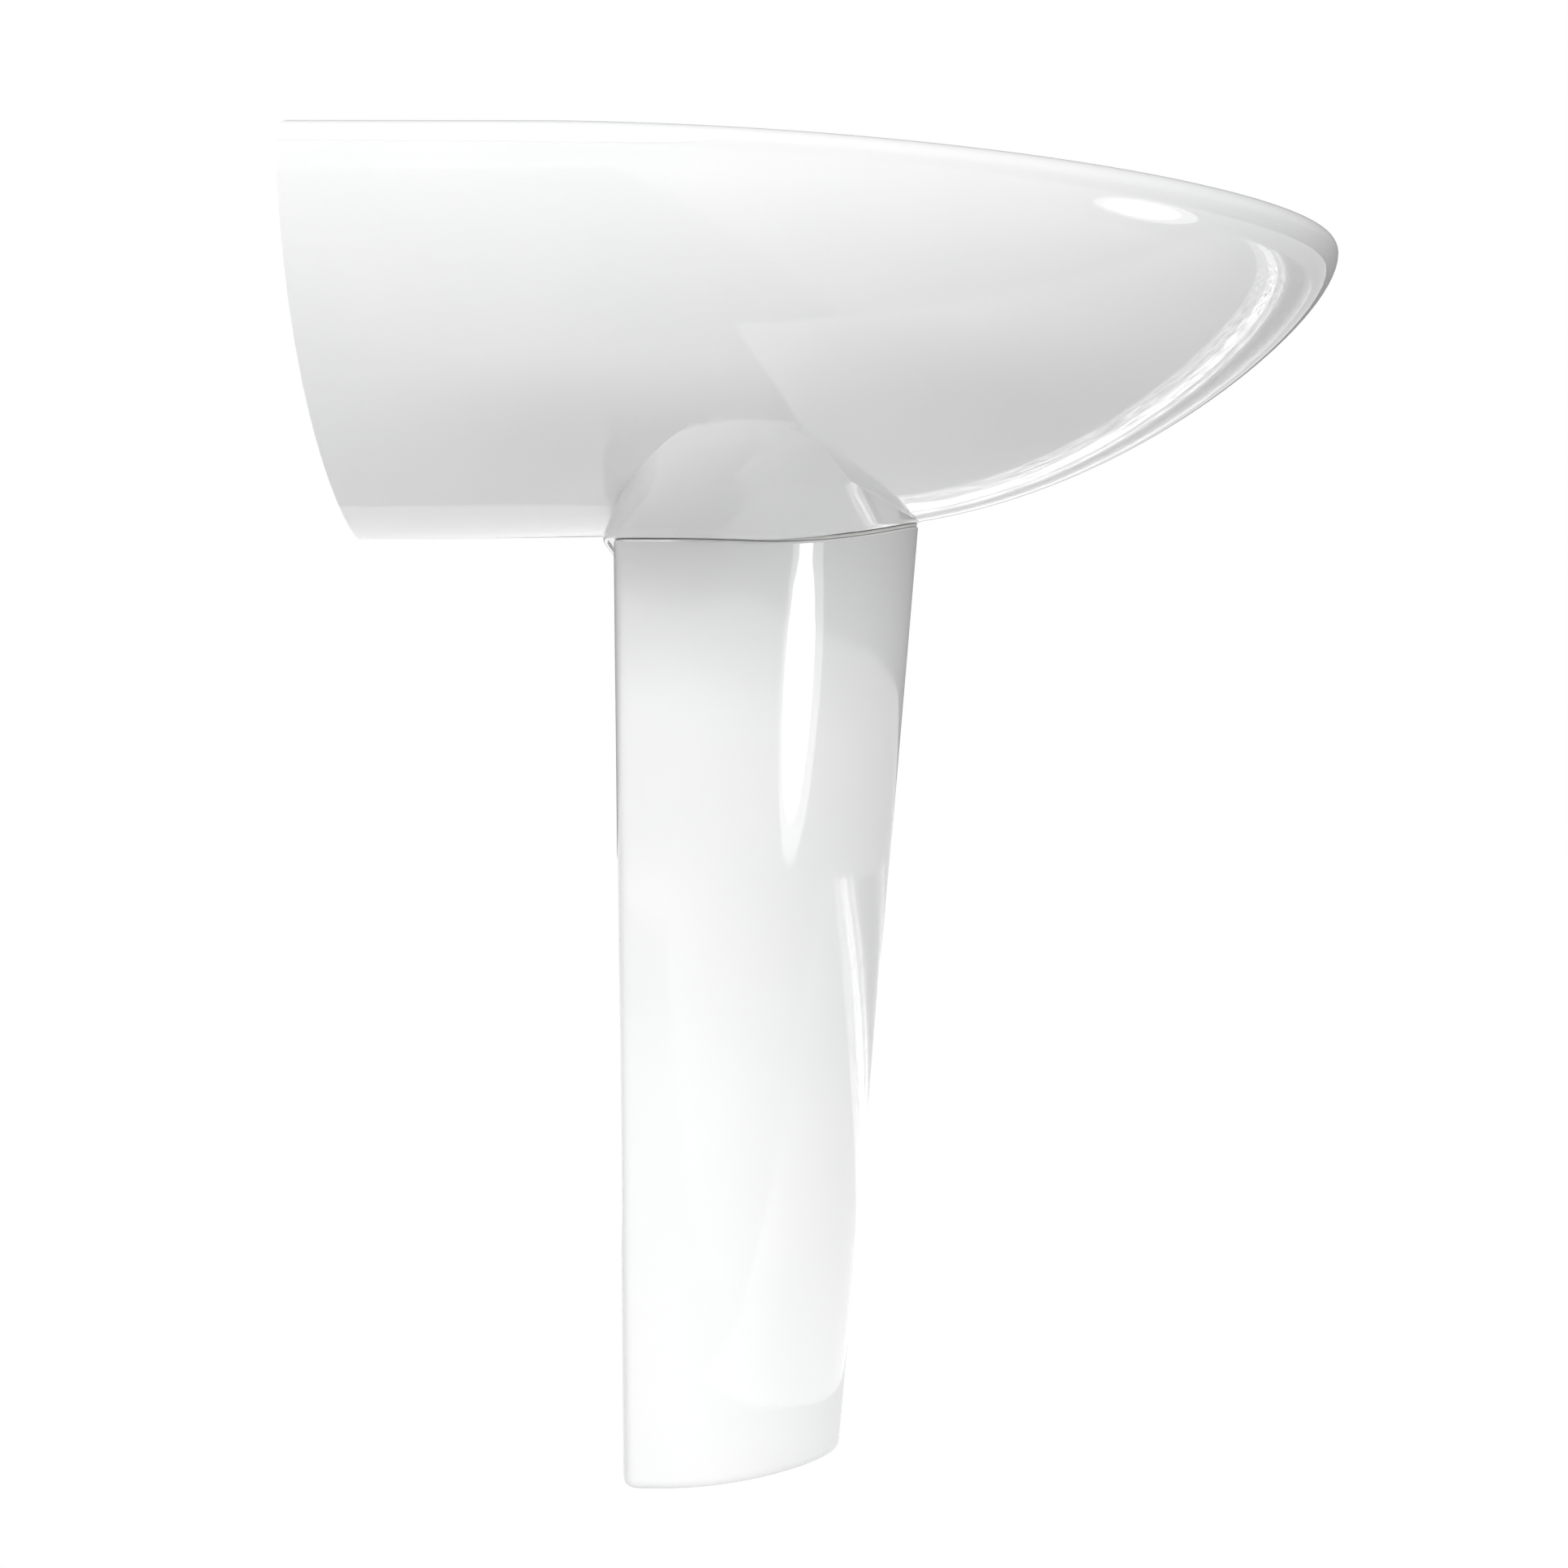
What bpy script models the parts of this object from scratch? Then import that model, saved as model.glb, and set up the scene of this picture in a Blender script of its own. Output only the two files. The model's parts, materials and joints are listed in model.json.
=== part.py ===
"""Pedestal wash basin in vitreous china with its waste, plug, bottle trap and floor pipe.

Metres, +Z up. The floor is z = 0, the wall is on the +Y side and the basin's pointed front looks to -Y.
The origin is on the floor under the middle of the basin.
"""

import math

import bmesh
import bpy
from mathutils import Vector

# Basin outside
RIM_HEIGHT = 0.800
BASIN_DEPTH = 0.640
HALF_WIDTH = 0.299
BACK_Y = BASIN_DEPTH / 2
KEEL_BACK_Z = 0.595
KEEL_FRONT_Y = 0.150
FRONT_DROP = 0.0075  # how much lower the rim is at the tip than at the back
STRAIGHT_SHARE = 0.23  # share of the depth over which the sides run straight from the wall
BACK_LIP = 0.0075
FRONT_LIP = 0.0130
CHINA = 0.011  # wall thickness
DECK = 0.013

# Bowl
BOWL_BACK_Y = 0.188
BOWL_FRONT_Y = -0.272
BOWL_WIDEST_Y = 0.100
BOWL_HALF = 0.240
BOWL_FLOOR = 0.655
BOWL_LIP = 0.008

# Openings in the china
TAP_HOLE_RADIUS = 0.0175
TAP_HOLE_Y = 0.252
WALL_BOLT_X = 0.140
WALL_BOLT_Z = 0.745
WALL_BOLT_RADIUS = 0.007
WINDOW_HALF = 0.105
WINDOW_LOW = 0.652
WINDOW_HIGH = 0.748

# Collar and pedestal
JOINT_Z = 0.587  # underside of the collar at the sides and the back
JOINT_RISE = 0.0195  # how much higher the underside is at the front tip
JOINT_RISE_FROM = 0.060
COLLAR_FRONT = -0.0475
COLLAR_BACK = 0.1515
SEAL = 0.0020
FOOT_HALF = 0.107
TOP_HALF = 0.128
FOOT_FRONT = 0.006
FRONT_LEAN = 0.089
FOOT_BACK = 0.142
TOP_BACK = 0.147
WALL = 0.010
FLANGE = 0.028
FLANGE_HEIGHT = 0.012
BACK_OPENING_HALF = 0.075
BACK_OPENING_TOP = 0.545
NOSE_RADIUS = 0.010
FOOT_SCREW = (0.086, 0.104)
FOOT_SCREW_RADIUS = 0.0035

# Waste, plug and trap
DRAIN_Y = 0.036
PLUG_TRAVEL = 0.008
WASTE_HOLE_RADIUS = 0.0225
RECESS_RADIUS = 0.0330  # the seat in the bowl's floor for the waste flange
RECESS = 0.003
PAD_BOTTOM = 0.625
OUTLET_Z = 0.484
PIPE_RADIUS = 0.0160
PIPE_BORE = 0.0142
BEND_START_Y = 0.091
BEND_RADIUS = 0.024
PIPE_Y = BEND_START_Y + BEND_RADIUS
OVERFLOW_AT = 0.920  # how far up the bowl's profile the overflow sits, 1 being the lip

GAP = 0.0003
COLUMNS = 17
ROUND = 24
CUTTER_PHASE = 0.37  # turns the cutters' corners away from the china's own edges


# ---------------------------------------------------------------- tools


def clear_scene():
    for obj in list(bpy.data.objects):
        bpy.data.objects.remove(obj)


def material(name, colour, roughness, metallic=0.0):
    made = bpy.data.materials.new(name)
    made.use_nodes = True
    shader = made.node_tree.nodes["Principled BSDF"]
    shader.inputs["Base Color"].default_value = (*colour, 1.0)
    shader.inputs["Roughness"].default_value = roughness
    shader.inputs["Metallic"].default_value = metallic
    return made


def finish(name, bm, look=None, smooth_angle=35):
    """Closes a bmesh into a named object; without a look it is a hidden helper."""
    bmesh.ops.remove_doubles(bm, verts=bm.verts, dist=1e-6)
    bmesh.ops.dissolve_degenerate(bm, dist=1e-6, edges=bm.edges)
    bmesh.ops.recalc_face_normals(bm, faces=bm.faces)
    mesh = bpy.data.meshes.new(name)
    bm.to_mesh(mesh)
    bm.free()
    obj = bpy.data.objects.new(name, mesh)
    bpy.context.scene.collection.objects.link(obj)
    if look is None:
        obj.hide_render = True
        obj.display_type = "WIRE"
    else:
        mesh.materials.append(look)
        mesh.shade_smooth()
        mesh.set_sharp_from_angle(angle=math.radians(smooth_angle))
    return obj


def boolean(obj, operation, *others):
    for other in others:
        modifier = obj.modifiers.new(f"{operation}_{other.name}", "BOOLEAN")
        modifier.operation = operation
        modifier.solver = "EXACT"
        modifier.object = other
    return obj


def bezier(points, t):
    """A point of the Bezier curve with these control points."""
    last = len(points) - 1
    weights = [math.comb(last, k) * (1 - t) ** (last - k) * t**k for k in range(last + 1)]
    return [sum(w * p[axis] for w, p in zip(weights, points)) for axis in range(len(points[0]))]


def loft(bm, rings):
    """Quads between rings of equally many points, each ring closed on itself; the ends stay open."""
    rows = [[bm.verts.new(point) for point in ring] for ring in rings]
    for low, high in zip(rows, rows[1:]):
        for i in range(len(low)):
            j = (i + 1) % len(low)
            bm.faces.new((low[i], low[j], high[j], high[i]))
    return rows


def closed_loft(rings):
    """A solid through rings, with flat ends."""
    bm = bmesh.new()
    rows = loft(bm, rings)
    bm.faces.new(rows[0])
    bm.faces.new(rows[-1])
    return bm


def mirrored(half_ring, first=0):
    """A whole ring from its -X half, which ends at the front tip on x = 0.

    The other half leaves out the points before the one numbered first: 1 if the ring starts on x = 0 too.
    """
    other = [(-x, y, z) for x, y, z in reversed(half_ring[first:-1])]
    return half_ring + other


def strip_cap(bm, row):
    """Closes a mirrored ring with strips that run straight across, so that it may rise along Y."""
    count = len(row)
    shift = 0 if abs(row[0].co.x) < 1e-9 else 1
    for i in range(count // 2):
        ends = [row[i], row[i + 1], row[count - 1 - i - shift], row[(count - i - shift) % count]]
        corners = list(dict.fromkeys(ends))
        if len(corners) > 2:
            bm.faces.new(corners)


def capped_loft(rings):
    """A solid through mirrored rings, with ends that may rise along Y."""
    bm = bmesh.new()
    rows = loft(bm, rings)
    strip_cap(bm, rows[0])
    strip_cap(bm, rows[-1])
    return bm


def box(name, low, high):
    bm = bmesh.new()
    bmesh.ops.create_cube(bm, size=1.0)
    size = [b - a for a, b in zip(low, high)]
    middle = [(a + b) / 2 for a, b in zip(low, high)]
    bmesh.ops.scale(bm, vec=size, verts=bm.verts)
    bmesh.ops.translate(bm, vec=middle, verts=bm.verts)
    return finish(name, bm)


def spun(profile, segments=ROUND, flats=0, phase=0.0):
    """A bmesh turned about Z from an outline of (radius, z) points.

    With flats, points that carry a third value True lie on a polygon with that many flat sides.
    """
    bm = bmesh.new()
    rings = []
    for step in range(segments):
        angle = 2 * math.pi * (step + phase) / segments
        ring = []
        for point in profile:
            radius = point[0]
            if flats and len(point) > 2:
                off = (angle + math.pi / flats) % (2 * math.pi / flats) - math.pi / flats
                radius /= math.cos(off)
            ring.append((radius * math.cos(angle), radius * math.sin(angle), point[1]))
        rings.append(ring)
    loft(bm, rings + [rings[0]])
    return bm


def turned(name, profile, look=None, at=(0, DRAIN_Y, 0), along=(0, 0, 1), segments=ROUND, flats=0):
    phase = CUTTER_PHASE if look is None else 0.0
    obj = finish(name, spun(profile, segments, flats, phase), look)
    obj.location = at
    obj.rotation_euler = Vector((0, 0, 1)).rotation_difference(Vector(along)).to_euler()
    return obj


def cylinder(name, radius, low, high, at=(0, DRAIN_Y, 0), along=(0, 0, 1), segments=ROUND):
    outline = [(0, low), (radius, low), (radius, high), (0, high)]
    return turned(name, outline, None, at, along, segments)


def ring_profile(bore, radius, low, high):
    return [(bore, low), (radius, low), (radius, high), (bore, high)]


# ---------------------------------------------------------------- basin outlines


def hull_plan(u):
    """Half-width, as a share of the widest, at a share u of the way from the wall to the tip."""
    r = max(0.0, (u - STRAIGHT_SHARE) / (1 - STRAIGHT_SHARE))
    return max(0.0, 1 - r**1.66) ** (1 / 1.71)


def rim_z(y):
    """Height of the rim's top: level over the deck and falling a little towards the tip."""
    share = max(0.0, (BOWL_WIDEST_Y - y) / (BOWL_WIDEST_Y + BACK_Y))
    return RIM_HEIGHT - FRONT_DROP * share**2


def hull_half_ring(t, inset=0.0):
    """One level of the hull, from the keel at t = 0 to the foot of the rim's rounding at t = 1."""
    top_back = RIM_HEIGHT - (BACK_LIP if inset == 0 else DECK)
    top_front = RIM_HEIGHT - FRONT_DROP - (FRONT_LIP if inset == 0 else DECK)
    side = (
        (0, KEEL_BACK_Z + inset),
        (0.107 - 0.3 * inset, 0.604 + inset),
        (0.284 - 0.9 * inset, 0.666 + 0.6 * inset),
        (HALF_WIDTH - inset, top_back),
    )
    stem = (
        (KEEL_FRONT_Y, 0.598 + inset),
        (-0.003, 0.6015 + inset),
        (-0.083, 0.587 + inset),
        (-0.194 + 0.8 * inset, 0.636 + 0.8 * inset),
        (-BACK_Y + 1.1 * inset, 0.733 + 0.3 * inset),
        (-BACK_Y + 1.1 * inset, top_front),
    )
    half, side_z = bezier(side, t)
    front_y, front_z = bezier(stem, t)
    back = BACK_Y - inset
    ring = []
    for i in range(COLUMNS + 1):
        u = 1 - (1 - i / COLUMNS) ** 2
        x = -half * hull_plan(u)
        ring.append((x, back + (front_y - back) * u, side_z + (front_z - side_z) * u * u))
    return ring


def hull_lip_ring(top, angle):
    """The rim's outer rounding, at an angle from 0 on the side to 90 degrees on the top."""
    ring = []
    for i, (x, y, z) in enumerate(top):
        before, after = top[max(i - 1, 0)], top[min(i + 1, len(top) - 1)]
        outward = Vector((after[1] - before[1], before[0] - after[0])).normalized()
        if i == 0:
            outward = Vector((-1, 1))
        if i == len(top) - 1:
            outward = Vector((0, -1))
        radius = rim_z(y) - z
        inwards = min(radius, FRONT_LIP) * (1 - math.cos(angle))
        ring.append((x - outward.x * inwards, y - outward.y * inwards, z + radius * math.sin(angle)))
    return ring


def hull(name, levels, inset=0.0, look=None):
    halves = [hull_half_ring(i / levels, inset) for i in range(levels + 1)]
    if inset == 0:
        top = halves[-1]
        halves += [hull_lip_ring(top, math.radians(a)) for a in (25, 50, 72, 90)]
    bm = bmesh.new()
    rows = loft(bm, [mirrored(half) for half in halves])
    strip_cap(bm, rows[-1])
    bmesh.ops.remove_doubles(bm, verts=bm.verts, dist=1e-6)
    return finish(name, bm, look)


# The bowl is a family of rings between the circle at the drain and the outline of the opening.
BOWL_PROFILE = ((0.0, BOWL_FLOOR), (0.42, 0.6545), (0.84, 0.668), (1.0, RIM_HEIGHT - BOWL_LIP))
BOWL_STEPS = 44
DUCT_START = 0.16
OVERFLOW_RADIUS = 0.0120
OVERFLOW_SEAT = 0.0008  # depth of the flat round the overflow
DRAIN_RING = 0.024


def bowl_opening(angle):
    """Outline of the bowl's opening: full and square at the back, pointed at the front."""
    c, s = math.cos(angle), math.sin(angle)
    if s >= 0:
        power = 2 / 2.9
        x = BOWL_HALF * math.copysign(abs(c) ** power, c)
        return Vector((x, BOWL_WIDEST_Y + (BOWL_BACK_Y - BOWL_WIDEST_Y) * s**power))
    r = abs(s)
    x = BOWL_HALF * math.copysign(math.sqrt(max(0.0, 1 - r * r)) ** 1.05, c)
    return Vector((x, BOWL_WIDEST_Y + (BOWL_FRONT_Y - BOWL_WIDEST_Y) * r))


def bowl_angles():
    """Angles round the opening, closer together towards the tip."""
    half = BOWL_STEPS // 2
    front = [-math.pi / 2 * (1 - (1 - i / (half // 2)) ** 1.6) for i in range(half // 2 + 1)]
    back = [math.pi / 2 * i / (half - half // 2) for i in range(1, half - half // 2 + 1)]
    right = list(reversed(front)) + back
    left = [math.pi - a for a in reversed(right[1:-1])]
    return right + left


def bowl_wall(s_at, angle, grow=0.0):
    """A point of the bowl at profile parameter s_at, moved outwards by grow along the wall's normal."""
    share, z = bezier(BOWL_PROFILE, s_at)
    ahead, behind = bezier(BOWL_PROFILE, min(1, s_at + 0.01)), bezier(BOWL_PROFILE, max(0, s_at - 0.01))
    slope = Vector(((ahead[0] - behind[0]) * BOWL_HALF, ahead[1] - behind[1])).normalized()
    drain = Vector((DRAIN_RING * math.cos(angle), DRAIN_Y + DRAIN_RING * math.sin(angle)))
    rim = bowl_opening(angle)
    step = 0.01
    tangent = bowl_opening(angle + step) - bowl_opening(angle - step)
    outward = Vector((tangent.y, -tangent.x)).normalized()
    round_way = Vector((math.cos(angle), math.sin(angle)))
    outward = round_way.lerp(outward, share).normalized()
    flat = drain.lerp(rim, share) + outward * grow * slope.y
    return Vector((flat.x, flat.y, z - grow * slope.x))


def bowl_solid(name, grow, levels):
    """The bowl's inside (grow 0), open through the rim, or its outer skin, which stops in the rim."""
    angles = bowl_angles()
    rings = [[bowl_wall(i / levels, a, grow) for a in angles] for i in range(levels + 1)]
    if grow:
        lift = RIM_HEIGHT - FRONT_DROP - 0.003 - rings[-1][0].z
        rings.append([p + Vector((0, 0, lift)) for p in rings[-1]])
        return finish(name, closed_loft(rings))
    edge = rings[-1]
    for a in (25, 50, 72):
        swell = BOWL_LIP * (1 - math.cos(math.radians(a)))
        rise = BOWL_LIP * math.sin(math.radians(a))
        rings.append([widened(edge, i, swell) + Vector((0, 0, rise)) for i in range(len(edge))])
    high = [widened(edge, i, BOWL_LIP) for i in range(len(edge))]
    rings.append([Vector((p.x, p.y, RIM_HEIGHT + 0.02)) for p in high])
    for ring in rings[levels + 1 : -1]:
        for p in ring:
            p.z -= RIM_HEIGHT - rim_z(p.y)
    return finish(name, closed_loft(rings))


def widened(ring, i, by):
    """Point i of a ring, moved outwards in plan."""
    before, after = ring[i - 1], ring[(i + 1) % len(ring)]
    outward = Vector((after.y - before.y, before.x - after.x, 0)).normalized()
    return ring[i] + outward * by


# ---------------------------------------------------------------- collar and pedestal outlines


def joint_z(y):
    """Underside of the collar: level, and rising towards the front tip."""
    share = min(1.0, max(0.0, (JOINT_RISE_FROM - y) / (JOINT_RISE_FROM - COLLAR_FRONT)))
    return JOINT_Z + JOINT_RISE * share**2


def shield_ring(half, front, widest, back, squareness, columns=11, corner_steps=5):
    """The plan of pedestal and collar: a rounded back edge and sides that close to a rounded nose."""
    ring = []
    for i in range(corner_steps + 1):
        a = math.pi / 2 * (1 - i / corner_steps)
        c, s = math.cos(a) ** (2 / squareness), math.sin(a) ** (2 / squareness)
        ring.append((-half * c, widest + (back - widest) * s))
    for i in range(1, columns + 1):
        r = 1 - (1 - i / columns) ** 2.1
        side = half * max(0.0, 1 - r**1.9) ** (1 / 1.3)
        nose = 2 * NOSE_RADIUS * (widest - front) * (1 - r) * r**6
        ring.append((-math.sqrt(side**2 + nose), widest + (front - widest) * r))
    return ring


def whole_shield(half_ring, height):
    return mirrored([(x, y, height(y)) for x, y in half_ring], first=1)


def collar_ring(rise, inset=0.0):
    """The collar grows from the pedestal's plan at its underside into an oval under the bowl."""
    share = min(1.0, rise / 0.075)
    oval = 1 - (1 - share) ** 4
    half = 0.132 + 0.030 * share - inset
    widest = 0.120 - 0.042 * oval
    squareness = 7.0 - 4.7 * oval
    ring = shield_ring(half, COLLAR_FRONT + inset, widest, COLLAR_BACK - inset, squareness)
    return whole_shield(ring, lambda y: joint_z(y) + rise)


def collar(name, inset=0.0):
    if inset:
        rises = (-0.02, 0.012, 0.028, 0.047)
        rings = [collar_ring(max(rise, 0.0), inset) for rise in rises]
        rings[0] = [(x, y, JOINT_Z - 0.02) for x, y, _ in rings[0]]
        return finish(name, capped_loft(rings))
    rises = (0.0025, 0.008, 0.018, 0.032, 0.050, 0.066)
    rings = [collar_ring(rise) for rise in rises]
    under = [(x, y, joint_z(y)) for x, y, _ in collar_ring(0.0, 0.0015)]
    return finish(name, capped_loft([under] + rings))


def pedestal_ring(height, inset=0.0, shave=0.0):
    """Plan of the pedestal at a share of its height, as (x, y) of the -X half."""
    z = height * JOINT_Z
    half = FOOT_HALF + (TOP_HALF - FOOT_HALF) * height**1.5 - inset - shave
    front = FOOT_FRONT - FRONT_LEAN * z + 1.1 * inset + shave
    back = FOOT_BACK + (TOP_BACK - FOOT_BACK) * height - inset - shave
    widest = back - 0.022
    return shield_ring(half, front, widest, back, 9.0)


def pedestal_solid(name, look, rows=7):
    top = lambda y: joint_z(y) - SEAL - 2 * GAP
    rings = []
    for shave, z in ((0.005, 0.0), (0.0015, 0.003)):
        rings.append(whole_shield(pedestal_ring(0.0, shave=shave), lambda y, z=z: z))
    for i in range(rows + 1):
        height = 0.017 + (1 - 0.017) * i / rows
        rings.append(whole_shield(pedestal_ring(height), lambda y, h=height: h * top(y)))
    return finish(name, capped_loft(rings), look)


def pedestal_hollow(name, inset, low, high):
    rings = []
    for i in range(6):
        z = low + (high - low) * i / 5
        ring = pedestal_ring(min(1.0, max(0.0, z / JOINT_Z)), inset)
        rings.append(whole_shield(ring, lambda y, z=z: z))
    return finish(name, capped_loft(rings))


# ---------------------------------------------------------------- china pieces


def overflow_frame():
    """Where the overflow sits in the bowl's back wall: a point on the wall and the way out through it."""
    here = bowl_wall(OVERFLOW_AT, math.pi / 2)
    there = bowl_wall(OVERFLOW_AT, math.pi / 2, 0.01)
    return here, (there - here).normalized()


def duct(name, near, far, half, start_y, top):
    """A flat duct that follows the bowl's back wall between two distances from its inner face."""
    steps = [DUCT_START + (top - DUCT_START) * i / 12 for i in range(13)]
    inner = [bowl_wall(s, math.pi / 2, near) for s in steps]
    outer = [bowl_wall(s, math.pi / 2, far) for s in steps]
    inner.insert(0, Vector((0, start_y, inner[0].z)))
    outer.insert(0, Vector((0, start_y, outer[0].z)))
    rings = []
    for a, b in zip(inner, outer):
        rings.append([(-half, a.y, a.z), (half, a.y, a.z), (half, b.y, b.z), (-half, b.y, b.z)])
    return finish(name, closed_loft(rings))


def make_basin(china):
    basin = hull("basin", 12, look=china)
    boolean(basin, "UNION", collar("collar_outside"))

    skin = bowl_solid("bowl_skin", CHINA, 8)
    pad = cylinder("waste_pad", 0.040, PAD_BOTTOM, BOWL_FLOOR - 0.004)
    shell = duct("overflow_duct_skin", 0.005, 0.028, 0.023, DRAIN_Y, OVERFLOW_AT + 0.065)
    boolean(skin, "UNION", pad, shell)

    cavity = hull("hull_inside", 8, inset=CHINA)
    boolean(cavity, "UNION", collar("collar_inside", 0.013))
    boolean(cavity, "DIFFERENCE", skin)
    boolean(basin, "DIFFERENCE", cavity, bowl_solid("bowl_inside", 0.0, 11))

    stepped = [(0, PAD_BOTTOM - 0.01), (WASTE_HOLE_RADIUS, PAD_BOTTOM - 0.01)]
    stepped += [(WASTE_HOLE_RADIUS, BOWL_FLOOR - RECESS), (RECESS_RADIUS, BOWL_FLOOR - RECESS)]
    stepped += [(RECESS_RADIUS, BOWL_FLOOR + 0.006), (0, BOWL_FLOOR + 0.006)]
    waste_hole = turned("waste_hole", stepped)
    hollow = duct("overflow_duct", 0.012, 0.020, 0.014, DRAIN_Y + 0.010, OVERFLOW_AT + 0.035)
    point, out = overflow_frame()
    seat = [(0, -0.010), (0.0157, -0.010), (0.0157, OVERFLOW_SEAT), (OVERFLOW_RADIUS, OVERFLOW_SEAT)]
    seat += [(OVERFLOW_RADIUS, 0.016), (0, 0.016)]
    overflow = turned("overflow_hole", seat, None, point, out, 28)
    tap_hole = cylinder("tap_hole", TAP_HOLE_RADIUS, -0.03, 0.01, (0, TAP_HOLE_Y, RIM_HEIGHT))
    boolean(hollow, "UNION", waste_hole, overflow)
    boolean(basin, "DIFFERENCE", hollow, tap_hole)

    low = (-WINDOW_HALF, BACK_Y - 0.03, WINDOW_LOW)
    high = (WINDOW_HALF, BACK_Y + 0.01, WINDOW_HIGH)
    boolean(basin, "DIFFERENCE", box("back_window", low, high))
    for side, name in ((-1, "left"), (1, "right")):
        at = (side * WALL_BOLT_X, BACK_Y, WALL_BOLT_Z)
        bolt = cylinder(f"wall_bolt_hole_{name}", WALL_BOLT_RADIUS, -0.03, 0.01, at, (0, 1, 0), 20)
        boolean(basin, "DIFFERENCE", bolt)
    return basin


def make_pedestal(china):
    pedestal = pedestal_solid("pedestal", china)
    hollow = pedestal_hollow("pedestal_hollow", WALL, FLANGE_HEIGHT, 0.65)
    foot_hole = pedestal_hollow("foot_hole", FLANGE, -0.01, 0.02)
    low = (-BACK_OPENING_HALF, FOOT_BACK - 0.036, -0.01)
    high = (BACK_OPENING_HALF, TOP_BACK + 0.01, BACK_OPENING_TOP)
    boolean(pedestal, "DIFFERENCE", hollow, foot_hole, box("back_opening", low, high))
    for side, name in ((-1, "left"), (1, "right")):
        at = (side * FOOT_SCREW[0], FOOT_SCREW[1], 0)
        screw = cylinder(f"foot_screw_hole_{name}", FOOT_SCREW_RADIUS, -0.01, 0.03, at, segments=16)
        boolean(pedestal, "DIFFERENCE", screw)
    return pedestal


def make_collar_seal(rubber):
    """The soft ring that lies on the pedestal's edge and carries the basin."""
    outer, inner = pedestal_ring(1.0, 0.002), pedestal_ring(1.0, 0.0085)
    low = lambda y: joint_z(y) - SEAL - GAP
    high = lambda y: joint_z(y) - GAP
    rings = [whole_shield(outer, low), whole_shield(outer, high)]
    rings += [whole_shield(inner, high), whole_shield(inner, low)]
    bm = bmesh.new()
    loft(bm, rings + [rings[0]])
    return finish("collar_seal", bm, rubber)


# ---------------------------------------------------------------- waste and plug


def make_overflow_ring(chrome):
    point, out = overflow_frame()
    back = OVERFLOW_SEAT - GAP
    outline = [(0.0095, 0.009), (0.0117, 0.009), (0.0117, back), (0.0153, back)]
    outline += [(0.0153, -0.0008), (0.0142, -0.0018), (0.0108, -0.0018), (0.0095, -0.0008)]
    return turned("overflow_ring", outline, chrome, point, out)


def make_waste(chrome, rubber, steel):
    top = BOWL_FLOOR + 0.0018
    outline = [(0.0178, 0.578), (0.0209, 0.578), (0.0209, BOWL_FLOOR - 0.0010), (0.0319, BOWL_FLOOR - 0.0010)]
    outline += [(0.0319, BOWL_FLOOR + 0.0008), (0.0309, top), (0.0255, top), (0.0196, 0.6546), (0.0178, 0.6500)]
    body = turned("waste_body", outline, chrome)
    slot = box("overflow_slot", (-0.009, DRAIN_Y - 0.03, 0.631), (0.009, DRAIN_Y + 0.03, 0.646))
    boolean(body, "DIFFERENCE", slot)
    floor = BOWL_FLOOR - 0.003
    turned("waste_flange_gasket", ring_profile(0.0215, 0.0310, floor + GAP, floor + 0.0017), rubber)
    turned("waste_lower_gasket", ring_profile(0.0215, 0.0300, PAD_BOTTOM - 0.0033, PAD_BOTTOM - GAP), rubber)
    turned("waste_washer", ring_profile(0.0214, 0.0305, PAD_BOTTOM - 0.0051, PAD_BOTTOM - 0.0036), steel)
    high = PAD_BOTTOM - 0.0054
    nut = [(0.0213, high), (0.0265, high, True), (0.0275, high - 0.001, True), (0.0275, high - 0.009, True)]
    nut += [(0.0213, high - 0.009)]
    turned("waste_backnut", nut, chrome, segments=30, flats=6)
    return body


def make_plug(chrome, rubber, steel, plastic):
    """The click plug, standing open; it closes PLUG_TRAVEL lower."""
    low = BOWL_FLOOR + 0.0025 + PLUG_TRAVEL
    cap = [(0, low), (0.0293, low), (0.0300, low + 0.0008), (0.0299, low + 0.0022), (0.0285, low + 0.0034)]
    cap += [(0.0200, low + 0.0048), (0.0100, low + 0.0055), (0, low + 0.0057)]
    turned("plug_cap", cap, chrome, segments=32)
    head_low, head_high = low - 0.0045, low - GAP
    turned("plug_seal", ring_profile(0.0168, 0.0200, low - 0.0026, head_high), rubber)
    stem = [(0, 0.590), (0.003, 0.590), (0.003, 0.640), (0.0075, 0.640), (0.0075, 0.642), (0.003, 0.642)]
    stem += [(0.003, head_low), (0.0165, head_low), (0.0165, head_high), (0, head_high)]
    turned("plug_stem", stem, steel, segments=24)
    guide = turned("plug_guide", ring_profile(0.0034, 0.0065, 0.600, 0.612), plastic, segments=24)
    for i in range(3):
        arm = box(f"guide_arm_{i}", (0.0050, -0.0014, 0.601), (0.0175, 0.0014, 0.609))
        arm.location = (0, DRAIN_Y, 0)
        arm.rotation_euler.z = 2 * math.pi * i / 3 + math.pi / 6
        boolean(guide, "UNION", arm)


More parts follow.
